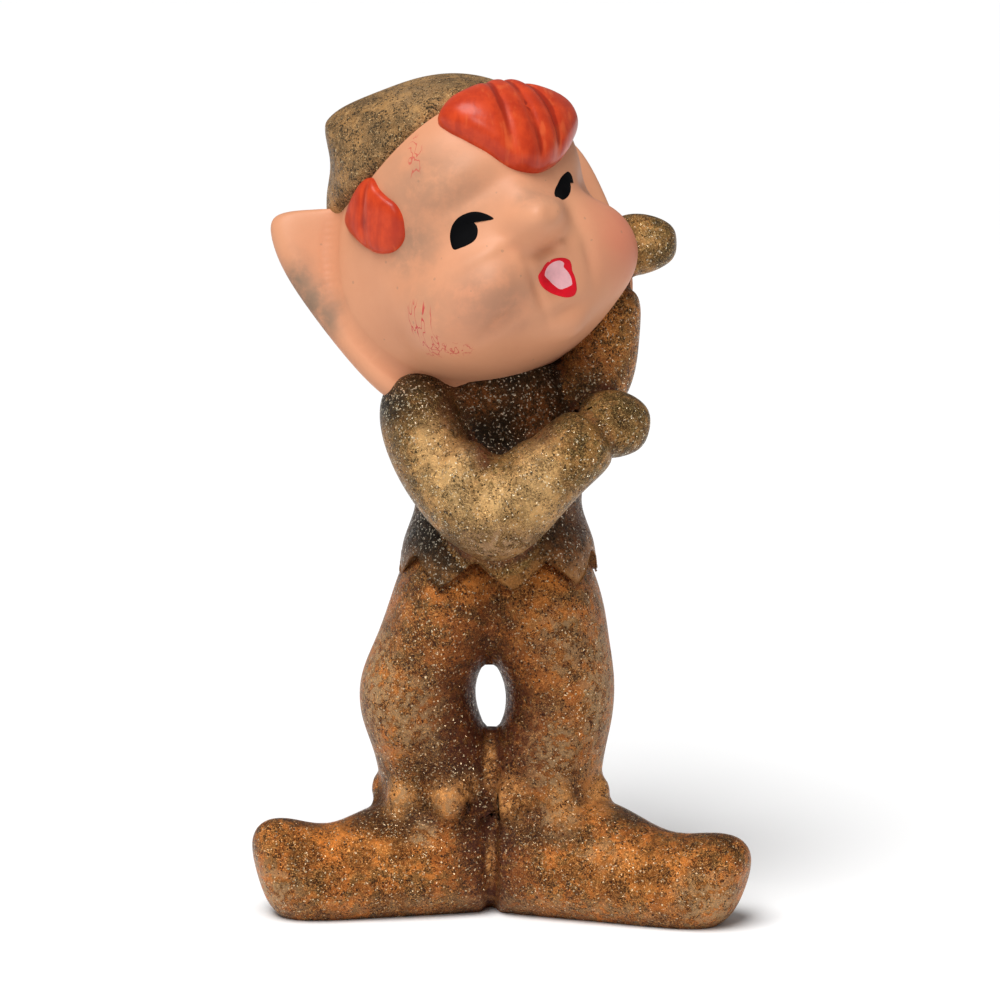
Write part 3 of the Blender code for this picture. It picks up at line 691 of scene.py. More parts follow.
def pressDetails(points, quads):
    # Moves the face's skin out by its details, and leaves the ears as they are
    local = toHead(points)
    reach = np.linalg.norm(local, axis=1, keepdims=True)
    return points + fromHead(local / reach * humpsAt(local / reach, faceDetails)[:, None]) - headMiddle, quads


headCasting = pressDetails(*headCasting)


def headOwners(points):
    # An ear owns what stands off the skull by more than its form says, on its own side
    local = toHead(points)
    reach = np.linalg.norm(local, axis=1)
    lift = (reach - headReach(local / reach[:, None])) / mm
    sideways = np.abs(np.arctan2(local[:, 0], -local[:, 1])) > 0.8
    standing = np.where(sideways, lift - earForm["standsOff"], -9.0)
    rightEar = np.where(local[:, 0] < 0, -standing, 9.0)
    leftEar = np.where(local[:, 0] > 0, -standing, 9.0)
    return np.stack([np.zeros(len(points)), rightEar, leftEar], axis=-1)


shareOut(headCasting, headOwners(headCasting[0]), [
    ("head_casting", skinPaint, "skin_paint", ["head"]),
    ("right_ear_leaf", skinPaint, "skin_paint", ["right_ear"]),
    ("left_ear_leaf", skinPaint, "skin_paint", ["left_ear"]),
])


# Cap. A shell over the crown, drawn by bearing round its pole.

capForm = {
    "pole": (0, 0.70, 0.72),
    "outline": (
        1.42, 1.37, 1.22, 0.95, 0.86, 1.02, 1.22, 1.33, 1.38, 1.33, 1.22, 1.02, 0.86, 0.95, 1.22, 1.37,
    ),
    "thickness": 2.8, "peak": 3.4, "corner": (-0.40, 0.10, 0.91), "steep": (-0.5, 0.5, -0.4), "width": 0.26,
    "under": -0.5,
}


def capThickness(share, directions):
    # Even wall that thins to its edge and low on the near side, plus a blunt corner behind the
    # crown: peak x exp(-(d / width)^1.7)
    corner = np.array(capForm["corner"]) / np.linalg.norm(capForm["corner"])
    away = np.arccos(np.clip(directions @ corner, -1, 1))
    down = np.clip((directions - corner) @ np.array(capForm["steep"]), 0, None)
    bulge = np.exp(-((np.sqrt(away**2 + (2.3 * down) ** 2) / capForm["width"]) ** 1.7))
    wall = capForm["thickness"] * np.sqrt(np.clip(1 - 0.86 * share**4, 0, 1))
    slim = np.clip(-directions[..., 0] / 0.35 - 1.4, 0, 1) * np.clip(2.4 - directions[..., 2] / 0.3, 0, 1)
    wall = wall * (1 - 0.6 * slim)
    return wall * (1 - share**60) + capForm["peak"] * bulge - 0.1


def capSkin(rows=90, columns=300):
    # point(s, b) runs from the pole to the outline's reach at bearing b, at share s of the way,
    # and lies capThickness above the skull; it comes back to the pole underneath
    pole = np.array(capForm["pole"], float) / np.linalg.norm(capForm["pole"])
    east = np.cross((0, 0, 1), pole)
    east = east / np.linalg.norm(east)
    bearing = onceRound(columns)
    knots = np.array(capForm["outline"])
    spread = throughKnots(knots, bearing / (2 * math.pi) * len(knots))
    sideways = np.cos(bearing)[..., None] * np.cross(pole, east) + np.sin(bearing)[..., None] * east

    def layer(share, isTop):
        angle = (share * spread)[..., None]
        directions = np.cos(angle) * pole + np.sin(angle) * sideways
        lift = capThickness(share, directions) if isTop else np.full(angle.shape[:2], capForm["under"])
        return onHead(directions, lift * mm)

    return twoLayers(np.linspace(0, 1, rows) ** 0.8, np.linspace(1, 0, 12), layer)


# Hair. Brushed gloss paint over raised locks, with combed grooves.

lockForms = {
    "forelock_curl": {
        "middle": (0.36, 0.58), "lift": 3.0, "node": "forelock",
        "grooves": ((0.165, 0.35), (0.40, 0.50), (0.60, 0.50)), "farLift": 1.3,
        "outline": [
            (-0.26, 0.84), (-0.13, 0.91), (0.02, 0.93), (0.35, 0.94), (0.62, 0.94), (0.80, 0.89),
            (0.92, 0.76), (1.00, 0.62), (1.03, 0.48), (0.95, 0.37), (0.78, 0.31), (0.58, 0.25),
            (0.38, 0.215), (0.20, 0.215), (0.07, 0.275), (-0.02, 0.38), (-0.09, 0.50), (-0.17, 0.62),
            (-0.24, 0.73),
        ],
    },
    "right_temple_lock": {
        "middle": (-1.20, 0.48), "lift": 1.2, "node": "right_side_lock", "grooves": ((-1.24, 0.25),),
        "farLift": 0.0,
        "outline": [
            (-1.12, 0.80), (-1.04, 0.68), (-0.98, 0.60), (-0.92, 0.52), (-0.91, 0.43), (-0.95, 0.34),
            (-1.00, 0.27), (-1.08, 0.23), (-1.18, 0.225), (-1.31, 0.27), (-1.40, 0.34), (-1.49, 0.43),
            (-1.59, 0.53), (-1.64, 0.63), (-1.52, 0.74), (-1.30, 0.82),
        ],
    },
    "left_temple_lock": {
        "middle": (1.62, 0.48), "lift": 1.3, "node": "left_side_lock", "grooves": ((1.60, 0.25),),
        "farLift": 0.0,
        "outline": [
            (1.50, 0.80), (1.42, 0.66), (1.38, 0.54), (1.36, 0.42), (1.40, 0.30), (1.50, 0.24),
            (1.62, 0.26), (1.74, 0.34), (1.84, 0.46), (1.90, 0.60), (1.84, 0.74), (1.68, 0.82),
        ],
    },
}


grooveWidth = 0.05
lockUnder = -0.6


def outlineSkin(form, between, top, under, lift):
    # point(s, t) = middle + s x (outline(t) - middle) in angles round the head, raised on top and
    # sunk below by what lift gives there, in metres
    knots, middle = np.array(form["outline"]), np.array(form["middle"])
    edge = throughKnots(knots, np.arange(len(knots) * between) / between)

    def layer(share, isTop):
        around, above = np.moveaxis(middle + share[..., None] * (edge[None] - middle), -1, 0)
        return onHead(direction(around, above), lift(share, around, above, isTop))

    return twoLayers(top, under, layer)


def lockSkin(form, rows=70, between=14):
    # Lifted by thickness x (1 - s^5)^0.5, less its grooves, each depth x exp(-(offset / width)^2)
    def lift(share, around, above, isTop):
        far = np.clip(around - form["middle"][0], 0, 1) * np.clip(2 - 2.5 * above, -0.5, 1)
        high = (form["lift"] + form["farLift"] * far) * np.sqrt(np.clip(1 - share**5, 0, 1)) - 0.3 * share**8
        for atAround, depth in form["grooves"]:
            offset = around - atAround - 0.55 * (above - 0.60) - 0.3 * (above - 0.60) ** 2
            high = high - depth * np.exp(-((offset / grooveWidth) ** 2)) * (1 - share**8)
        return (high if isTop else 0 * high + lockUnder) * mm

    return outlineSkin(form, between, np.linspace(0, 1, rows) ** 0.7, np.linspace(1, 0, 8), lift)


hairLook = {
    "colour": (0.60, 0.058, 0.014, 1), "second": (0.44, 0.034, 0.010, 1), "dark": (0.34, 0.022, 0.008, 1),
    "light": (0.74, 0.15, 0.045, 1), "groove": (0.24, 0.012, 0.004, 1),
}


def makeHairPaint():
    # Gloss orange-red, brushed, darker in the grooves and where the brush went twice
    coat = {"Coat_Weight": 0.06, "Coat_Roughness": 0.15}
    material, wires, shader, place = newMaterial("hairPaint", Roughness=0.32, Specular_IOR_Level=0.2, **coat)
    remap, mix = wires.remap, wires.mix
    stretch = {"Vector": place, "Rotation": (0.0, 0.5, 0.3), "Scale": (700.0, 400.0, 120.0)}
    streaks = wires.node("Mapping", stretch)[0]
    strokes = wires.node("TexNoise", {"Vector": streaks, "Scale": 1.0, "Detail": 3.0})[0]
    colour = mix(wires.patches(place, 3.0, 0.5, 0.2), hairLook["colour"], hairLook["second"])
    colour = mix(remap(strokes, 0.54, 0.70, 0.0, 0.45), colour, hairLook["dark"])
    colour = mix(remap(strokes, 0.44, 0.32, 0.0, 0.35), colour, hairLook["light"])
    # Painted shade in the hollows of the combed grooves
    colour = mix(remap(wires.mark("hollow"), 0.0, 0.10, 0.0, 0.75), colour, hairLook["groove"])
    wires.fill(shader, {"Base Color": colour, "Normal": wires.bump(strokes, 0.4, 0.15)})
    return material


capLook = {
    "metallic": 0.35, "rough": 0.42, "flake": 0.30, "grain": 0.30, "tilt": 1.2, "shade": 0.62, "pits": 1.1,
    "ridges": 0.8, "colour": (0.42, 0.215, 0.070, 1), "second": (0.27, 0.145, 0.052, 1),
    # Painted highlight on the cap's top beside the forelock
    "third": (0.54, 0.30, 0.115, 1), "highlightAndCopper": [((-9, 5, 111), (7, 8, 4), 0.7)],
    "highlightAndCopperColour": (0.55, 0.31, 0.12, 1), "wornAndLit": [((-10, -3, 108), (4, 5, 4), 0.7)],
    "wornAndLitColour": (0.42, 0.26, 0.13, 1), "hemBandAndShadowColour": (0.3, 0.2, 0.1, 1), "creaseFrom": 0.2,
    "creaseTo": 0.8, "deep": [((-20, 6, 96), (3, 8, 4), 0.4)], "creaseColour": (0.07, 0.045, 0.02, 1),
    # Painted shade on the cap's side above the near ear
    "black": [((-15.3, -3, 105.5), (3.0, 4, 2.0), 0.75), ((-20, 2, 103), (2.5, 5, 3), 0.5)],
    "blackColour": (0.05, 0.04, 0.025, 1), "darkShare": 0.30, "darkColour": (0.030, 0.020, 0.010, 1),
    "lightColour": (0.56, 0.36, 0.17, 1), "brightShare": 0.06, "brightColour": (0.85, 0.62, 0.32, 1),
    # Painted highlight on the cap's crown
    "finalHighlightAndCopper": [((0, 0, 111), (6, 8, 3), 0.3)], "finalHighlightAndCopperColour": (0.55, 0.34, 0.14, 1),
}

hairPaint = makeHairPaint()
capPaint = glitterPaint("capPaint", capLook)
addPiece("cap_shell", meshFrom("cap_shell", [capSkin()]), capPaint, "olive_glitter", ["cap"])
for name, form in lockForms.items():
    skin = lockSkin(form)
    mesh = meshFrom(name, [skin])
    depth = mesh.attributes.new("hollow", "FLOAT", "POINT")
    depth.data.foreach_set("value", hollowness(skin[0], skin[1], 60))
    addPiece(name, mesh, hairPaint, "hair_glaze", [form["node"]])
print("cap and hair laid on the head")


# Face paint. Each film is a closed outline of (around, above) angles, filled towards a middle.

faceFilms = {
    "right_eye_paint": {
        "middle": (-0.47, 0.13), "lift": 0.10, "colour": (0.0015, 0.0015, 0.002, 1), "rough": 0.5,
        "outline": [
            (-0.63, 0.00), (-0.62, 0.09), (-0.57, 0.16), (-0.50, 0.195), (-0.42, 0.195), (-0.35, 0.17),
            (-0.295, 0.12), (-0.262, 0.065), (-0.275, 0.055), (-0.33, 0.085), (-0.395, 0.112),
            (-0.393, 0.07), (-0.405, 0.03), (-0.44, -0.01), (-0.49, -0.025), (-0.57, -0.02),
        ],
    },
    "left_eye_paint": {
        "middle": (0.48, 0.07), "lift": 0.10, "colour": (0.0015, 0.0015, 0.002, 1), "rough": 0.5,
        "outline": [
            (0.21, 0.00), (0.31, 0.055), (0.39, 0.09), (0.47, 0.125), (0.55, 0.145), (0.62, 0.15),
            (0.655, 0.11), (0.62, 0.055), (0.585, 0.075), (0.53, 0.03), (0.46, -0.01), (0.39, -0.035),
            (0.31, -0.04), (0.25, -0.012),
        ],
    },
    "lip_paint": {
        "middle": (0.02, -0.55), "lift": 0.08, "colour": (0.72, 0.012, 0.025, 1), "rough": 0.22,
        "outline": [
            (-0.145, -0.46), (-0.09, -0.435), (-0.03, -0.41), (0.04, -0.405), (0.11, -0.42), (0.155, -0.45),
            (0.165, -0.49), (0.158, -0.53), (0.162, -0.58), (0.155, -0.63), (0.14, -0.67), (0.10, -0.695),
            (0.03, -0.685), (-0.04, -0.65), (-0.10, -0.605), (-0.145, -0.54),
        ],
    },
    "mouth_paint": {
        "middle": (0.04, -0.52), "lift": 0.16, "colour": (0.86, 0.47, 0.50, 1), "rough": 0.30,
        "outline": [
            (-0.085, -0.49), (-0.055, -0.46), (-0.01, -0.437), (0.04, -0.427), (0.09, -0.433),
            (0.118, -0.46), (0.112, -0.49), (0.128, -0.53), (0.135, -0.57), (0.13, -0.605), (0.11, -0.63),
            (0.01, -0.632), (-0.035, -0.59), (-0.06, -0.54),
        ],
    },
}


filmUnder = -0.3


def filmSkin(form, rows=20, between=8):
    # Laid on the skin and its details, domed by 1 - s^6
    def lift(share, around, above, isTop):
        high = form["lift"] * (1 - 0.8 * share**6) if isTop else np.full(share.shape, filmUnder)
        return high * mm + humpsAt(direction(around, above), faceDetails)

    return outlineSkin(form, between, np.linspace(0, 1, rows), np.linspace(1, 0, 4), lift)


def makeFilmPaint(name, form):
    material, wires, shader, place = newMaterial(name, Roughness=form["rough"], Specular_IOR_Level=0.04)
    cloudy = wires.patches(place, 1.2, 0.5, 0.25)
    darker = [0.72 * value for value in form["colour"][:3]] + [1]
    colour = wires.mix(wires.times(cloudy, 0.6), form["colour"], darker)
    rough = wires.remap(cloudy, 0.0, 1.0, form["rough"], form["rough"] + 0.1)
    wires.fill(shader, {"Base Color": colour, "Roughness": rough})
    return material


for name, form in faceFilms.items():
    addPiece(name, meshFrom(name, [filmSkin(form)]), makeFilmPaint(name + "Film", form), None)
print("face painted")


# Body. Jacket with its pointed hem, the two sleeves and the two hands, cast as one.

bodyForm = {
    "trunk": (-0.5, 1.0), "levels": (44.8, 49.4, 55.0, 64.0, 69.5, 74.5),
    "widths": (13.3, 12.9, 11.2, 12.8, 11.4, 8.0), "depths": (12.7, 12.2, 10.0, 9.6, 8.8, 8.0),
    "hemHeight": 49.4, "hemPoint": 4.6, "hemPoints": 8, "hemTurn": -81.5, "grain": 0.33, "fillet": 0.7,
    "rounds": 4,
}

armForm = {
    "right_sleeve": [
        (-6.6, 1.5, 70.4, 4.8, 4.8), (-12.6, -3.8, 71.8, 6.5, 6.5), (-8.5, -9.7, 59.9, 5.9, 5.9),
        (-0.9, -13.2, 54.0, 8.1, 6.9), (6.0, -13.4, 61.8, 4.7, 5.3), (10.8, -11.8, 65.6, 5.0, 5.4),
        (12.4, -11.4, 67.0, 3.6, 3.6),
    ],
    "right_hand": [
        (10.6, -9.2, 66.9, 4.0, 4.0), (14.8, -8.0, 67.6, 5.0, 5.0), (19.2, -7.2, 66.6, 3.0, 3.0),
    ],
    "left_sleeve": [
        (2.9, 2.0, 67.2, 4.2, 4.2), (9.1, 1.0, 67.7, 5.2, 5.2), (12.7, 0.0, 72.2, 5.4, 5.4),
        (13.7, 1.0, 78.7, 4.7, 4.7), (14.9, 2.4, 84.5, 4.0, 4.0),
    ],
    "left_hand": [(13.9, 3.6, 88.9, 3.6, 3.6), (18.1, 3.6, 89.9, 4.6, 4.6), (23.2, 3.0, 90.1, 2.6, 2.6)],
}

# Clay that fills the crook of the bent arm
crookStations = [
    (-7.2, -11.6, 63.4, 4.0, 4.0), (-4.6, -12.8, 61.0, 4.7, 4.7), (-0.2, -13.8, 58.6, 4.8, 4.8),
    (4.4, -13.0, 61.6, 4.6, 4.6), (7.0, -12.6, 63.6, 4.0, 4.0),
]


def hemWave(angle):
    # 1 at the hem's points and 0 between: a triangle wave, rounded at the points
    wave = np.abs((angle * bodyForm["hemPoints"] / (2 * math.pi)) % 1.0 * 2 - 1)
    return wave - 0.12 * wave**6


def trunkOval(z):
    return [smoothThrough(bodyForm["levels"], bodyForm[key], z) for key in ("widths", "depths")]


def jacketSkin(rows=130, columns=384):
    # Level ovals from the hem to the neck; the lowest row runs in points: height - point x wave
    angle, share = onceRound(columns), np.linspace(0, 1, rows)[:, None]
    low = bodyForm["hemHeight"] - bodyForm["hemPoint"] * hemWave(angle) * (1 - share) ** 4
    z = low + (bodyForm["levels"][-1] - low) * share
    x, y = bodyForm["trunk"]
    ends = [(x, y, bodyForm["hemHeight"]), (x, y, bodyForm["levels"][-1])]
    return ovalSkin(x, y, *trunkOval(z), angle + bodyForm["hemTurn"] * degree, z, ends)


bodyLook = {
    "metallic": 0.65, "rough": 0.35, "flake": 0.29, "grain": 0.36, "tilt": 1.3, "shade": 0.42, "pits": 0.85,
    "ridges": 0.7, "colour": (0.30, 0.142, 0.036, 1), "second": (0.15, 0.082, 0.020, 1),
    "third": (0.42, 0.19, 0.056, 1),
    # Painted highlights on the bent arm's ridges, the elbow and the far hand
    "highlightAndCopper": [
        ((-8.5, -17, 64), (3, 6, 6), 0.8), ((4.5, -17, 61), (3, 6, 6), 0.8),
        ((-2, -20, 57), (4, 5, 3), 0.7), ((20, -6, 91), (4, 5, 2.5), 0.8),
    ],
    "highlightAndCopperColour": (0.74, 0.43, 0.17, 1),
    "wornAndLit": [((0, -20, 51), (6, 6, 4), 0.95), ((-13, -6, 62), (4, 6, 6), 0.4)],
    "wornAndLitColour": (0.44, 0.25, 0.13, 1), "hemBandAndShadowColour": (0.28, 0.115, 0.032, 1), "creaseFrom": 0.16,
    "creaseTo": 0.60,
    "deep": [
        ((-6.6, -11.5, 70.5), (1.8, 5, 3.5), 0.9), ((-4.6, -12.5, 67), (1.7, 5, 3.0), 0.9),
        ((-2.4, -13.5, 64.5), (1.6, 5, 2.2), 0.9), ((4.4, -13, 66.8), (2.4, 5, 1.6), 0.7),
        ((12, -3, 74), (3, 5, 4), 0.6),
    ],
    # Painted highlights down the ridges of the bent arm
    "finalHighlightAndCopper": [
        ((-5.5, -17.5, 61.5), (2.0, 6, 5), 0.55), ((-0.6, -19, 60.0), (3.0, 6, 2.2), 0.75),
        ((4.6, -17, 61.0), (2.0, 6, 3.0), 0.4), ((-9.5, -15, 66.0), (1.8, 6, 3.0), 0.4),
    ],
    "finalHighlightAndCopperColour": (0.76, 0.47, 0.20, 1), "creaseColour": (0.11, 0.020, 0.007, 1),
    "black": [
        ((1.5, -8, 69), (8, 3.6, 4), 0.9), ((-14.8, -8, 70.4), (3.8, 8, 3.6), 1.0),
        ((-11, -9, 72.8), (4.4, 6, 2.0), 0.8), ((11, -6, 71), (3, 4, 3), 0.6),
        ((17, -9, 63.6), (3.4, 5, 2), 0.5),
    ],
    "blackColour": (0.011, 0.009, 0.006, 1), "darkShare": 0.10, "darkColour": (0.040, 0.020, 0.007, 1),
    "lightColour": (0.78, 0.50, 0.20, 1), "brightShare": 0.08, "brightColour": (0.95, 0.82, 0.58, 1),
}

jacketLook = {
    **bodyLook, "colour": (0.16, 0.058, 0.014, 1), "second": (0.048, 0.022, 0.009, 1),
    "third": (0.26, 0.085, 0.018, 1),
    "finalHighlightAndCopper": [
        ((5.0, -9, 68.5), (3, 6, 4), 0.7), ((-3, -9, 70.5), (3.4, 6, 2.2), 0.6),
        ((9, -8, 50), (3, 6, 2), 0.5),
    ],
    "finalHighlightAndCopperColour": (0.36, 0.11, 0.024, 1),
    "highlightAndCopper": [
        ((3, -13, 46.5), (5, 5, 2.6), 0.9), ((12, -7, 48), (4, 7, 4), 0.8),
        ((-10, -10, 47), (3, 5, 2.2), 0.7), ((0, 12, 50), (12, 5, 9), 0.6),
    ],
    "highlightAndCopperColour": (0.36, 0.145, 0.035, 1),
    "wornAndLit": [((12, -7, 46.5), (2.5, 5, 2), 0.7), ((0, 12, 60), (8, 5, 8), 0.4)],
    "hemBandAndShadowColour": (0.42, 0.175, 0.048, 1),
    "deep": [((-7, -8, 69), (1.6, 5, 4), 0.6), ((9, -6, 53), (5, 6, 2), 0.5)],
    "black": [
        ((1.5, -8, 68), (14, 11, 10), 1.0), ((-11, -8, 52.5), (6, 10, 5), 1.0),
        ((-7, -11, 49.5), (5, 5, 2.4), 0.9), ((9, -10, 51.5), (4, 6, 3), 0.75),
        ((-8.5, -10, 46.5), (1.4, 4, 2), 0.8),
    ],
    "darkShare": 0.14, "lightColour": (0.46, 0.25, 0.09, 1), "brightShare": 0.05,
    "brightColour": (0.86, 0.74, 0.56, 1), "creaseColour": (0.09, 0.018, 0.007, 1),
}

farSleeveLook = {
    **bodyLook, "colour": (0.44, 0.150, 0.030, 1), "second": (0.27, 0.105, 0.024, 1),
    "third": (0.58, 0.22, 0.050, 1), "darkShare": 0.26, "lightColour": (0.80, 0.44, 0.14, 1),
    "hemBandAndShadowColour": (0.28, 0.1, 0.03, 1),
}

bodyPaint = glitterPaint("bodyPaint", bodyLook)
jacketPaint = glitterPaint("jacketPaint", jacketLook)
farSleevePaint = glitterPaint("farSleevePaint", farSleeveLook)
limbSkins = [closedSkin(netSkin(limbNet(stations))) for stations in [*armForm.values(), crookStations]]
bodyCasting = castTogether("bodyCasting", [jacketSkin()] + limbSkins, bodyForm)


def jacketField(points):
    x, y, z = points.T / mm
    return outsideOval(x, y, *bodyForm["trunk"], *trunkOval(z))


def hemRise(points):
    # Height above the hem's edge at the point's bearing, in mm
    x, y, z = points.T / mm
    wide, deep = bodyForm["widths"][1], bodyForm["depths"][1]  # at the hem
    trunkX, trunkY = bodyForm["trunk"]
    angle = np.arctan2((y - trunkY) / deep, (x - trunkX) / wide) - bodyForm["hemTurn"] * degree
    return z - bodyForm["hemHeight"] + bodyForm["hemPoint"] * hemWave(angle % (2 * math.pi))


def hemBand(points):
    # 1 along the jacket's lower edge, fading within three millimetres above it
    band = np.clip(1.3 - hemRise(points) / 2.4, 0, 1)
    return np.where(points[:, 2] < bodyForm["levels"][2] * mm, band, 0.0)


def hemShadow(points):
    # 1 on the trousers just below the hem's edge: the hem's painted shadow
    return np.clip(1.4 + hemRise(points) / 0.8, 0, 1)


bodyPoints = bodyCasting[0]
bodyFields = [jacketField(bodyPoints)] + [limbField(bodyPoints, stations) for stations in armForm.values()]
bodyFields[1] = np.minimum(bodyFields[1], limbField(bodyPoints, crookStations))
shareOut(bodyCasting, np.stack(bodyFields, axis=-1), [
    ("jacket_casting", jacketPaint, "black_glitter", ["jacket"]),
    ("right_sleeve_casting", bodyPaint, "gold_lustre", ["right_sleeve"]),
    ("right_hand_casting", bodyPaint, "gold_lustre", ["right_hand"]),
    ("left_sleeve_casting", farSleevePaint, "copper_lustre", ["left_sleeve"]),
    ("left_hand_casting", bodyPaint, "gold_lustre", ["left_hand"]),
], hemBand(bodyPoints))


# Legs. Trousers with the opening between the knees, and the turned-up shoes, cast as one.

creaseX = -1.6

legForm = {
    "grain": 0.35, "fillet": 0.9, "rounds": 4,
    "right": [
        (9.1, 14.5, -1.1, 7.2, 1.0), (20.0, 14.9, -1.9, 7.9, 0.6), (25.6, 17.6, 1.6, 8.4, 0.0),
        (31.6, 17.9, 2.6, 8.7, 0.0), (37.0, 15.2, -1.7, 9.2, 0.0), (42.0, 13.5, -3.3, 10.2, 0.5),
        (51.0, 10.6, -2.2, 8.0, 1.0),
    ],
    "left": [
        (9.1, 14.5, -1.1, 7.2, 1.0), (20.0, 15.0, -1.7, 7.9, 0.6), (25.6, 16.6, 2.3, 8.4, 0.0),
        (31.6, 16.9, 2.2, 8.7, 0.0), (37.0, 15.9, -1.7, 9.2, 0.0), (42.0, 15.4, -3.3, 10.2, 0.5),
        (51.0, 12.2, -2.2, 8.0, 1.0),
    ],
}

shoeForm = {
    "length": {rightSide: 31.4, leftSide: 35.4}, "turn": {rightSide: 15.0, leftSide: 22.0},
    "toe": {rightSide: 12.9, leftSide: 12.0}, "halfWidth": 7.9, "instep": {rightSide: 14.0, leftSide: 14.9},
    "vamp": 11.0, "startY": 1.0, "collarHeight": 14.0, "collarWall": 0.9, "knobHeight": 15.6, "knobs": 7,
    "knobTurn": {rightSide: 0.09, leftSide: -0.49}, "knobHalf": (2.2, 2.0, 2.8), "knobSunk": 0.1,
    "groove": 1.2, "grooveHalf": 0.9, "grooveTop": 19.0, "drainReach": 9.0, "drainRadius": 1.6,
    "drainDepth": 5.0, "top": 12.5,
}


def legSkin(rows, side):
    # Level ovals between an outer and an inner reach from the crease. Each row is
    # (height, outer reach, inner reach, half depth, y)
    stations = [
        (creaseX + side * 0.5 * (outer + inner), y, height, 0.5 * (outer - inner), deep)
        for height, outer, inner, deep, y in rows
    ]
    return closedSkin(netSkin(levelNet(stations), 180, 110))


def shoeSkin(side):
    # Upright ovals along the foot, each leaning forward at its top as the toe turns up
    turn, length = shoeForm["turn"][side] * degree, shoeForm["length"][side]
    forward = np.array((side * math.cos(turn), -math.sin(turn), 0))
    across = np.array((-forward[1], forward[0], 0))
    wide, vamp = shoeForm["halfWidth"], shoeForm["vamp"]
    instep, toe = shoeForm["instep"][side], shoeForm["toe"][side]
    sections = [
        (-0.14, 0.98 * wide, 0.80 * instep, 0.0, -1.5), (0.16, 1.12 * wide, instep, 0.0, -1.5),
        (0.46, 1.04 * wide, 1.12 * instep, 0.0, -1.5), (0.69, 0.86 * wide, 1.02 * vamp, 0.0, -1.5),
        (0.86, 0.80 * wide, 1.05 * toe, 0.02, -1.5), (0.97, 0.64 * wide, 1.05 * toe, 0.04, 0.0),
        (1.03, 0.34 * wide, 0.84 * toe, 0.04, 2.2),
    ]
    sides = 6
    angle = (2 * math.pi * (np.arange(sides) + 0.5) / sides)[:, None]
    rings = []
    for place, halfWidth, height, lean, bottom in sections:
        centre = np.array((creaseX, shoeForm["startY"], 0)) + forward * place * length
        halfHeight = (height - bottom) / 2
        ring = centre + across * halfWidth * np.cos(angle) / roundShare(sides)
        ring = ring + forward * lean * length * np.sin(angle)
        ring[:, 2:] = bottom + halfHeight + halfHeight * np.sin(angle) / roundShare(sides)
        rings.append(ring)
    return closedSkin(netSkin(np.array(rings) * mm, 160, 110))


def legOval(side, height):
    # Middle, half width, half depth and y of the leg's level section, read from its rows
    rows = np.array(legForm["right" if side == rightSide else "left"])
    outer, inner, deep, middleY = (smoothThrough(rows[:, 0], rows[:, k], height) for k in (1, 2, 3, 4))
    return creaseX + side * 0.5 * (outer + inner), 0.5 * (outer - inner), deep, middleY


def collarSkin(side, rows=40, columns=160):
    # A low band that hugs the ankle: the leg's oval grown by wall x (1 - s^4)^0.5
    share = np.linspace(0, 1, rows)[:, None]
    z = shoeForm["collarHeight"] * (0.40 + 0.60 * share)
    middle, halfWidth, halfDepth, middleY = legOval(side, z)
    grown = shoeForm["collarWall"] * np.sqrt(1 - share**4) - 0.6 * share**8
    ends = [(middle[k, 0], shoeForm["startY"], z[k, 0]) for k in (0, -1)]
    return ovalSkin(middle, middleY, halfWidth + grown, halfDepth + grown, onceRound(columns), z, ends)


def knobSkins(side, rows=24, columns=24):
    # The collar's points, as soft ovals set a little into the ankle
    skins = []
    around, down = onceRound(columns), np.linspace(0, math.pi, rows)[:, None]
    globe = np.broadcast_arrays(np.sin(down) * np.cos(around), np.sin(down) * np.sin(around), np.cos(down))
    globe = np.stack(globe, axis=-1) * shoeForm["knobHalf"]
    middle, halfWidth, halfDepth, middleY = legOval(side, shoeForm["knobHeight"])
    for number in range(shoeForm["knobs"]):
        bearing = 2 * math.pi * number / shoeForm["knobs"] + shoeForm["knobTurn"][side] - 0.5 * math.pi
        if side * math.cos(bearing) < -0.6:
            continue  # the other leg stands there
        out = np.array((math.cos(bearing), math.sin(bearing), 0))
        axes = np.array([(-out[1], out[0], 0), out, (0, 0, 1)])
        at = np.array((middle + halfWidth * out[0], middleY + halfDepth * out[1], shoeForm["knobHeight"]))
        skins.append(closedSkin((at - shoeForm["knobSunk"] * out + globe @ axes) * mm))
    return skins


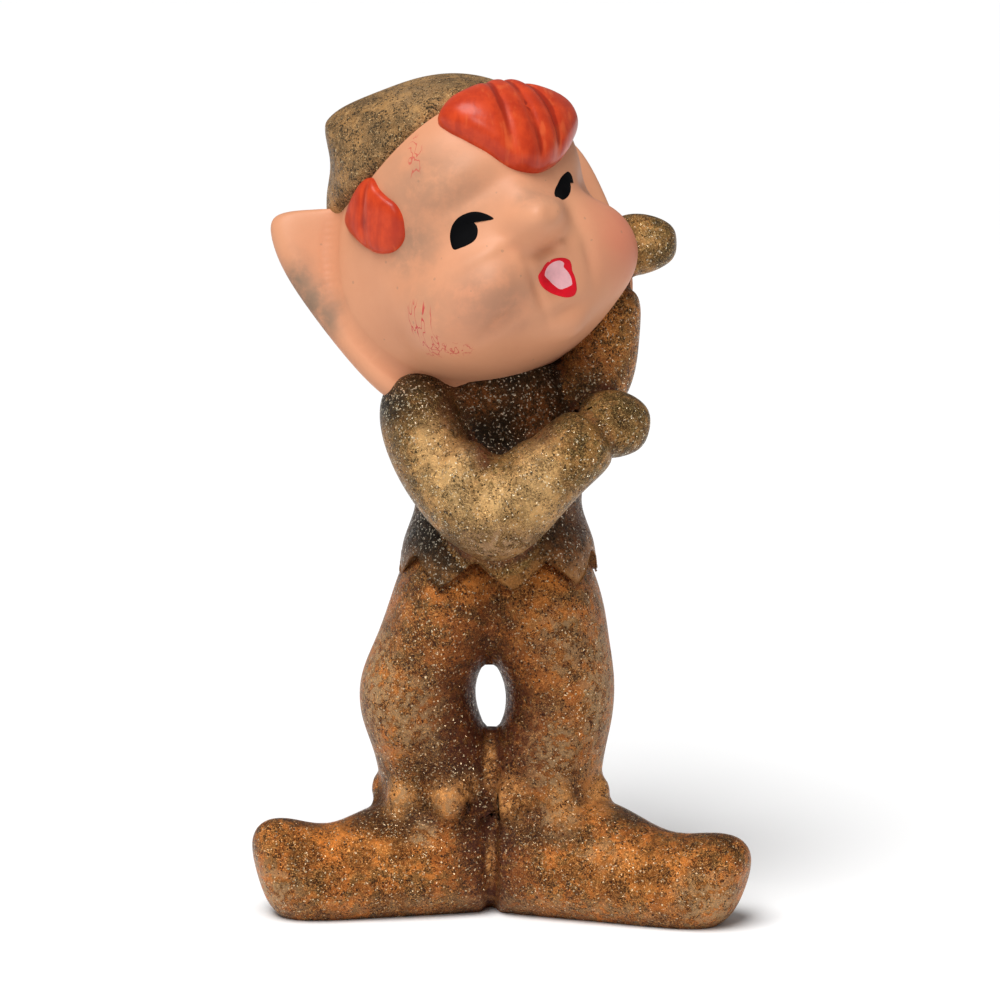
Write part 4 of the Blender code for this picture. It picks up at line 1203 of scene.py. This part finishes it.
legLook = {
    "metallic": 0.65, "rough": 0.33, "flake": 0.29, "grain": 0.36, "tilt": 1.3, "shade": 0.34, "pits": 0.95,
    "ridges": 0.85, "colour": (0.42, 0.118, 0.020, 1), "second": (0.19, 0.080, 0.020, 1),
    "third": (0.60, 0.185, 0.030, 1),
    # Painted highlights on the shoes' tops, a knee, a knob and the crease between the feet, and brighter
    # copper just below the hem
    "highlightAndCopper": [
        ((-20, -6, 11), (9, 10, 3), 0.7), ((19, -10, 8), (8, 9, 3), 0.7), ((4, -9, 36), (4, 6, 6), 0.5),
        ((-5, -10, 46), (4, 4, 2.4), 1.0), ((5, -10, 46), (4, 4, 2.4), 1.0),
        ((12.6, -6, 16.2), (1.7, 4, 2.6), 1.0), ((-1.6, -8, 4), (0.6, 6, 2.5), 0.8),
    ],
    "highlightAndCopperColour": (0.72, 0.23, 0.038, 1),
    # Painted highlights on the collar's knobs and along the crease between the feet
    "finalHighlightAndCopper": [
        ((-1.7, -7, 20.5), (0.8, 6, 3.4), 1.0), ((13.2, -2.5, 16.6), (2.7, 5, 3.6), 1.0),
        ((-4.6, -8, 17.6), (1.6, 4, 1.8), 0.9), ((1.2, -7.5, 16.2), (2.2, 4, 2.8), 0.8),
        ((8.4, -8.5, 15.8), (2.1, 4, 2.6), 0.7), ((-7.6, -9, 16.6), (2.0, 4, 2.4), 0.8),
        ((-14.0, -7, 16.2), (2.2, 5, 2.4), 0.8), ((-1.6, -10, 7.6), (0.6, 6, 3.0), 0.7),
    ],
    "finalHighlightAndCopperColour": (0.70, 0.30, 0.085, 1),
    "wornAndLit": [
        ((-12, -8, 28), (4, 5, 6), 0.8), ((7, -9, 22), (4, 5, 6), 0.95),
        # Paler paint on the collar's knobs: rubbed there, and lightened as a painted highlight
        ((-13.6, -6, 16), (2.0, 4, 2.4), 1.0), ((-7.4, -8, 16.2), (1.8, 4, 2.2), 1.0),
        ((-10.3, -9, 12), (2.0, 4, 1.8), 1.0), ((7.4, -8, 14.4), (2.6, 4, 3), 1.0),
        ((-31, -8, 4), (4, 8, 4), 0.9), ((28, -14, 4), (5, 7, 4), 0.9), ((8, -10, 38), (3, 5, 5), 0.8),
        ((13, -5, 30), (2.5, 6, 12), 0.9), ((-17, -5, 31), (3.4, 8, 11), 0.85),
        ((15.5, -5, 30), (3.0, 8, 13), 0.85), ((0, -12, 2), (24, 8, 1.6), 0.5),
        ((13, -10, 10), (3, 5, 2), 0.6),
    ],
    # On the trousers the hem band colour is the hem's painted shadow
    "wornAndLitColour": (0.40, 0.245, 0.115, 1), "hemBandAndShadowColour": (0.085, 0.014, 0.005, 1), "creaseFrom": 0.14,
    "creaseTo": 0.70,
    # Darker in the crease between the legs and round the opening: antiquing there, and painted shade
    "deep": [
        ((-1.6, -8, 12), (5.2, 10, 13), 1.0), ((-1.6, -5, 27.5), (8.6, 18, 15), 1.0),
        ((-2.5, -8, 19.5), (6.4, 10, 7.5), 1.0),
    ],
    "creaseColour": (0.060, 0.008, 0.003, 1),
    # Painted shade above, below and between the collar's knobs and low in the crease, and a faint darker
    # patch on the near knee
    "black": [
        ((-12, -8, 40), (4, 5, 6), 0.25), ((-1.6, -8, 13), (3.0, 5, 5), 0.35),
        ((-15, -5, 13.6), (6, 8, 2.4), 0.9), ((-9, -8, 19.4), (6, 6, 2), 0.75),
        ((5, -8, 12), (6, 6, 1.8), 0.7), ((17, -6, 14.6), (3, 7, 2.0), 0.7),
        ((-10.6, -8, 15.6), (1.2, 4, 2), 0.8), ((9.8, -8, 16.6), (1.4, 4, 2), 0.8),
    ],
    "blackColour": (0.026, 0.012, 0.006, 1), "darkShare": 0.15, "darkColour": (0.034, 0.010, 0.004, 1),
    "lightColour": (0.84, 0.40, 0.12, 1), "brightShare": 0.07, "brightColour": (0.95, 0.74, 0.46, 1),
}

legPaint = glitterPaint("legPaint", legLook)
legSkins = [legSkin(legForm["right"], rightSide), legSkin(legForm["left"], leftSide)]
legSkins += [shoeSkin(rightSide), shoeSkin(leftSide), collarSkin(rightSide), collarSkin(leftSide)]
legSkins += knobSkins(rightSide) + knobSkins(leftSide)
points, quads = castTogether("legCasting", legSkins, legForm)


def finishLegs(points, quads):
    # Presses the groove between the feet in, levels the soles, and sinks the drain holes:
    # groove = depth x exp(-((x - crease) / half width)^2), deepest below the opening
    x, y, z = points.T / mm
    below = np.clip((shoeForm["grooveTop"] - z) / 3.0, 0, 1)
    front = below * np.clip(np.abs(y - shoeForm["startY"]) / 4.0, 0, 1)
    groove = shoeForm["groove"] * np.exp(-(((x - creaseX) / shoeForm["grooveHalf"]) ** 2)) * front
    points = points - pointNormals(points, quads) * groove[:, None] * mm
    points[:, 2] = np.maximum(points[:, 2], 0)
    x, y, z = points.T / mm
    for side in (rightSide, leftSide):
        away = np.hypot(x - creaseX - side * shoeForm["drainReach"], y - shoeForm["startY"])
        sunk = np.clip((shoeForm["drainRadius"] + 0.15 - away) / 0.3, 0, 1) * (points[:, 2] < 0.3 * mm)
        points[:, 2] += sunk * shoeForm["drainDepth"] * mm
    return points


points = finishLegs(points, quads)


def legOwners(points):
    # The shoes own what lies below their top or stands out from the legs just above it
    x, y, z = points.T / mm
    ovals = [legOval(side, z) for side in (rightSide, leftSide)]
    fields = [outsideOval(x, y, middle, middleY, wide, deep) for middle, wide, deep, middleY in ovals]
    leg = np.minimum(*fields)
    low = np.where(z < shoeForm["top"], -3.0, 0.0) + np.clip(z - shoeForm["top"], 0, None) * 0.05
    shoe = low + np.where(z > shoeForm["grooveTop"], 9.0, 0.0) + 0.6
    return np.stack([leg, np.where(x < creaseX, shoe, 9.0), np.where(x >= creaseX, shoe, 9.0)], axis=-1)


shareOut((points, quads), legOwners(points), [
    ("trouser_casting", legPaint, "copper_lustre", ["trousers"]),
    ("right_shoe_casting", legPaint, "copper_lustre", ["right_shoe"]),
    ("left_shoe_casting", legPaint, "copper_lustre", ["left_shoe"]),
], hemShadow(points))


# Floor, light and camera.

stageForm = {
    "floor": 4.0, "floorColour": (0.95, 0.95, 0.95, 1), "surround": 0.22,
    "distance": 0.62, "elevation": 10.0, "target": (-0.0003, 0.0, 0.0557), "lens": 166.6,
}

lights = {
    "key": {"kind": "SUN", "at": (-0.20, -0.36, 0.90), "angle": 36.0, "power": 3.1},
    "gleam": {"kind": "AREA", "at": (-0.10, -0.50, 0.42), "size": 0.14, "power": 0.6},
}


def makeFloor():
    size = stageForm["floor"]
    mesh = bpy.data.meshes.new("floor")
    corners = [(-size, -size, 0), (size, -size, 0), (size, size, 0), (-size, size, 0)]
    mesh.from_pydata(corners, [], [(0, 1, 2, 3)])
    floor = newObject("floor", mesh)
    mesh.materials.append(newMaterial("floorPaint", Roughness=0.9, Base_Color=stageForm["floorColour"])[0])


def makeLights():
    world = bpy.data.worlds.new("studio")
    bpy.context.scene.world = world
    world.use_nodes = True
    background = world.node_tree.nodes["Background"]
    Wires(world.node_tree).fill(background, {0: (1, 1, 1, 1), 1: stageForm["surround"]})
    for name, form in lights.items():
        light = bpy.data.lights.new(name, form["kind"])
        light.energy = form["power"]
        if form["kind"] == "SUN":
            light.angle = form["angle"] * degree
        else:
            light.size = form["size"]
        lamp = newObject(name, light)
        lamp.location = form["at"]
        aim = Vector(stageForm["target"]) - lamp.location
        lamp.rotation_euler = aim.to_track_quat("-Z", "Y").to_euler()


def makeCamera():
    rise = stageForm["elevation"] * degree
    camera = newObject("camera", bpy.data.cameras.new("camera"))
    back = np.array((0, -math.cos(rise), math.sin(rise)))
    camera.location = np.array(stageForm["target"]) + stageForm["distance"] * back
    camera.rotation_euler = (math.pi / 2 - rise, 0, 0)
    camera.data.lens = stageForm["lens"]
    camera.data.sensor_width = 36.0
    camera.data.clip_start = 0.01
    bpy.context.scene.camera = camera


makeFloor()
makeCamera()
makeLights()
bpy.context.scene.view_settings.view_transform = "Standard"
print("stage set")
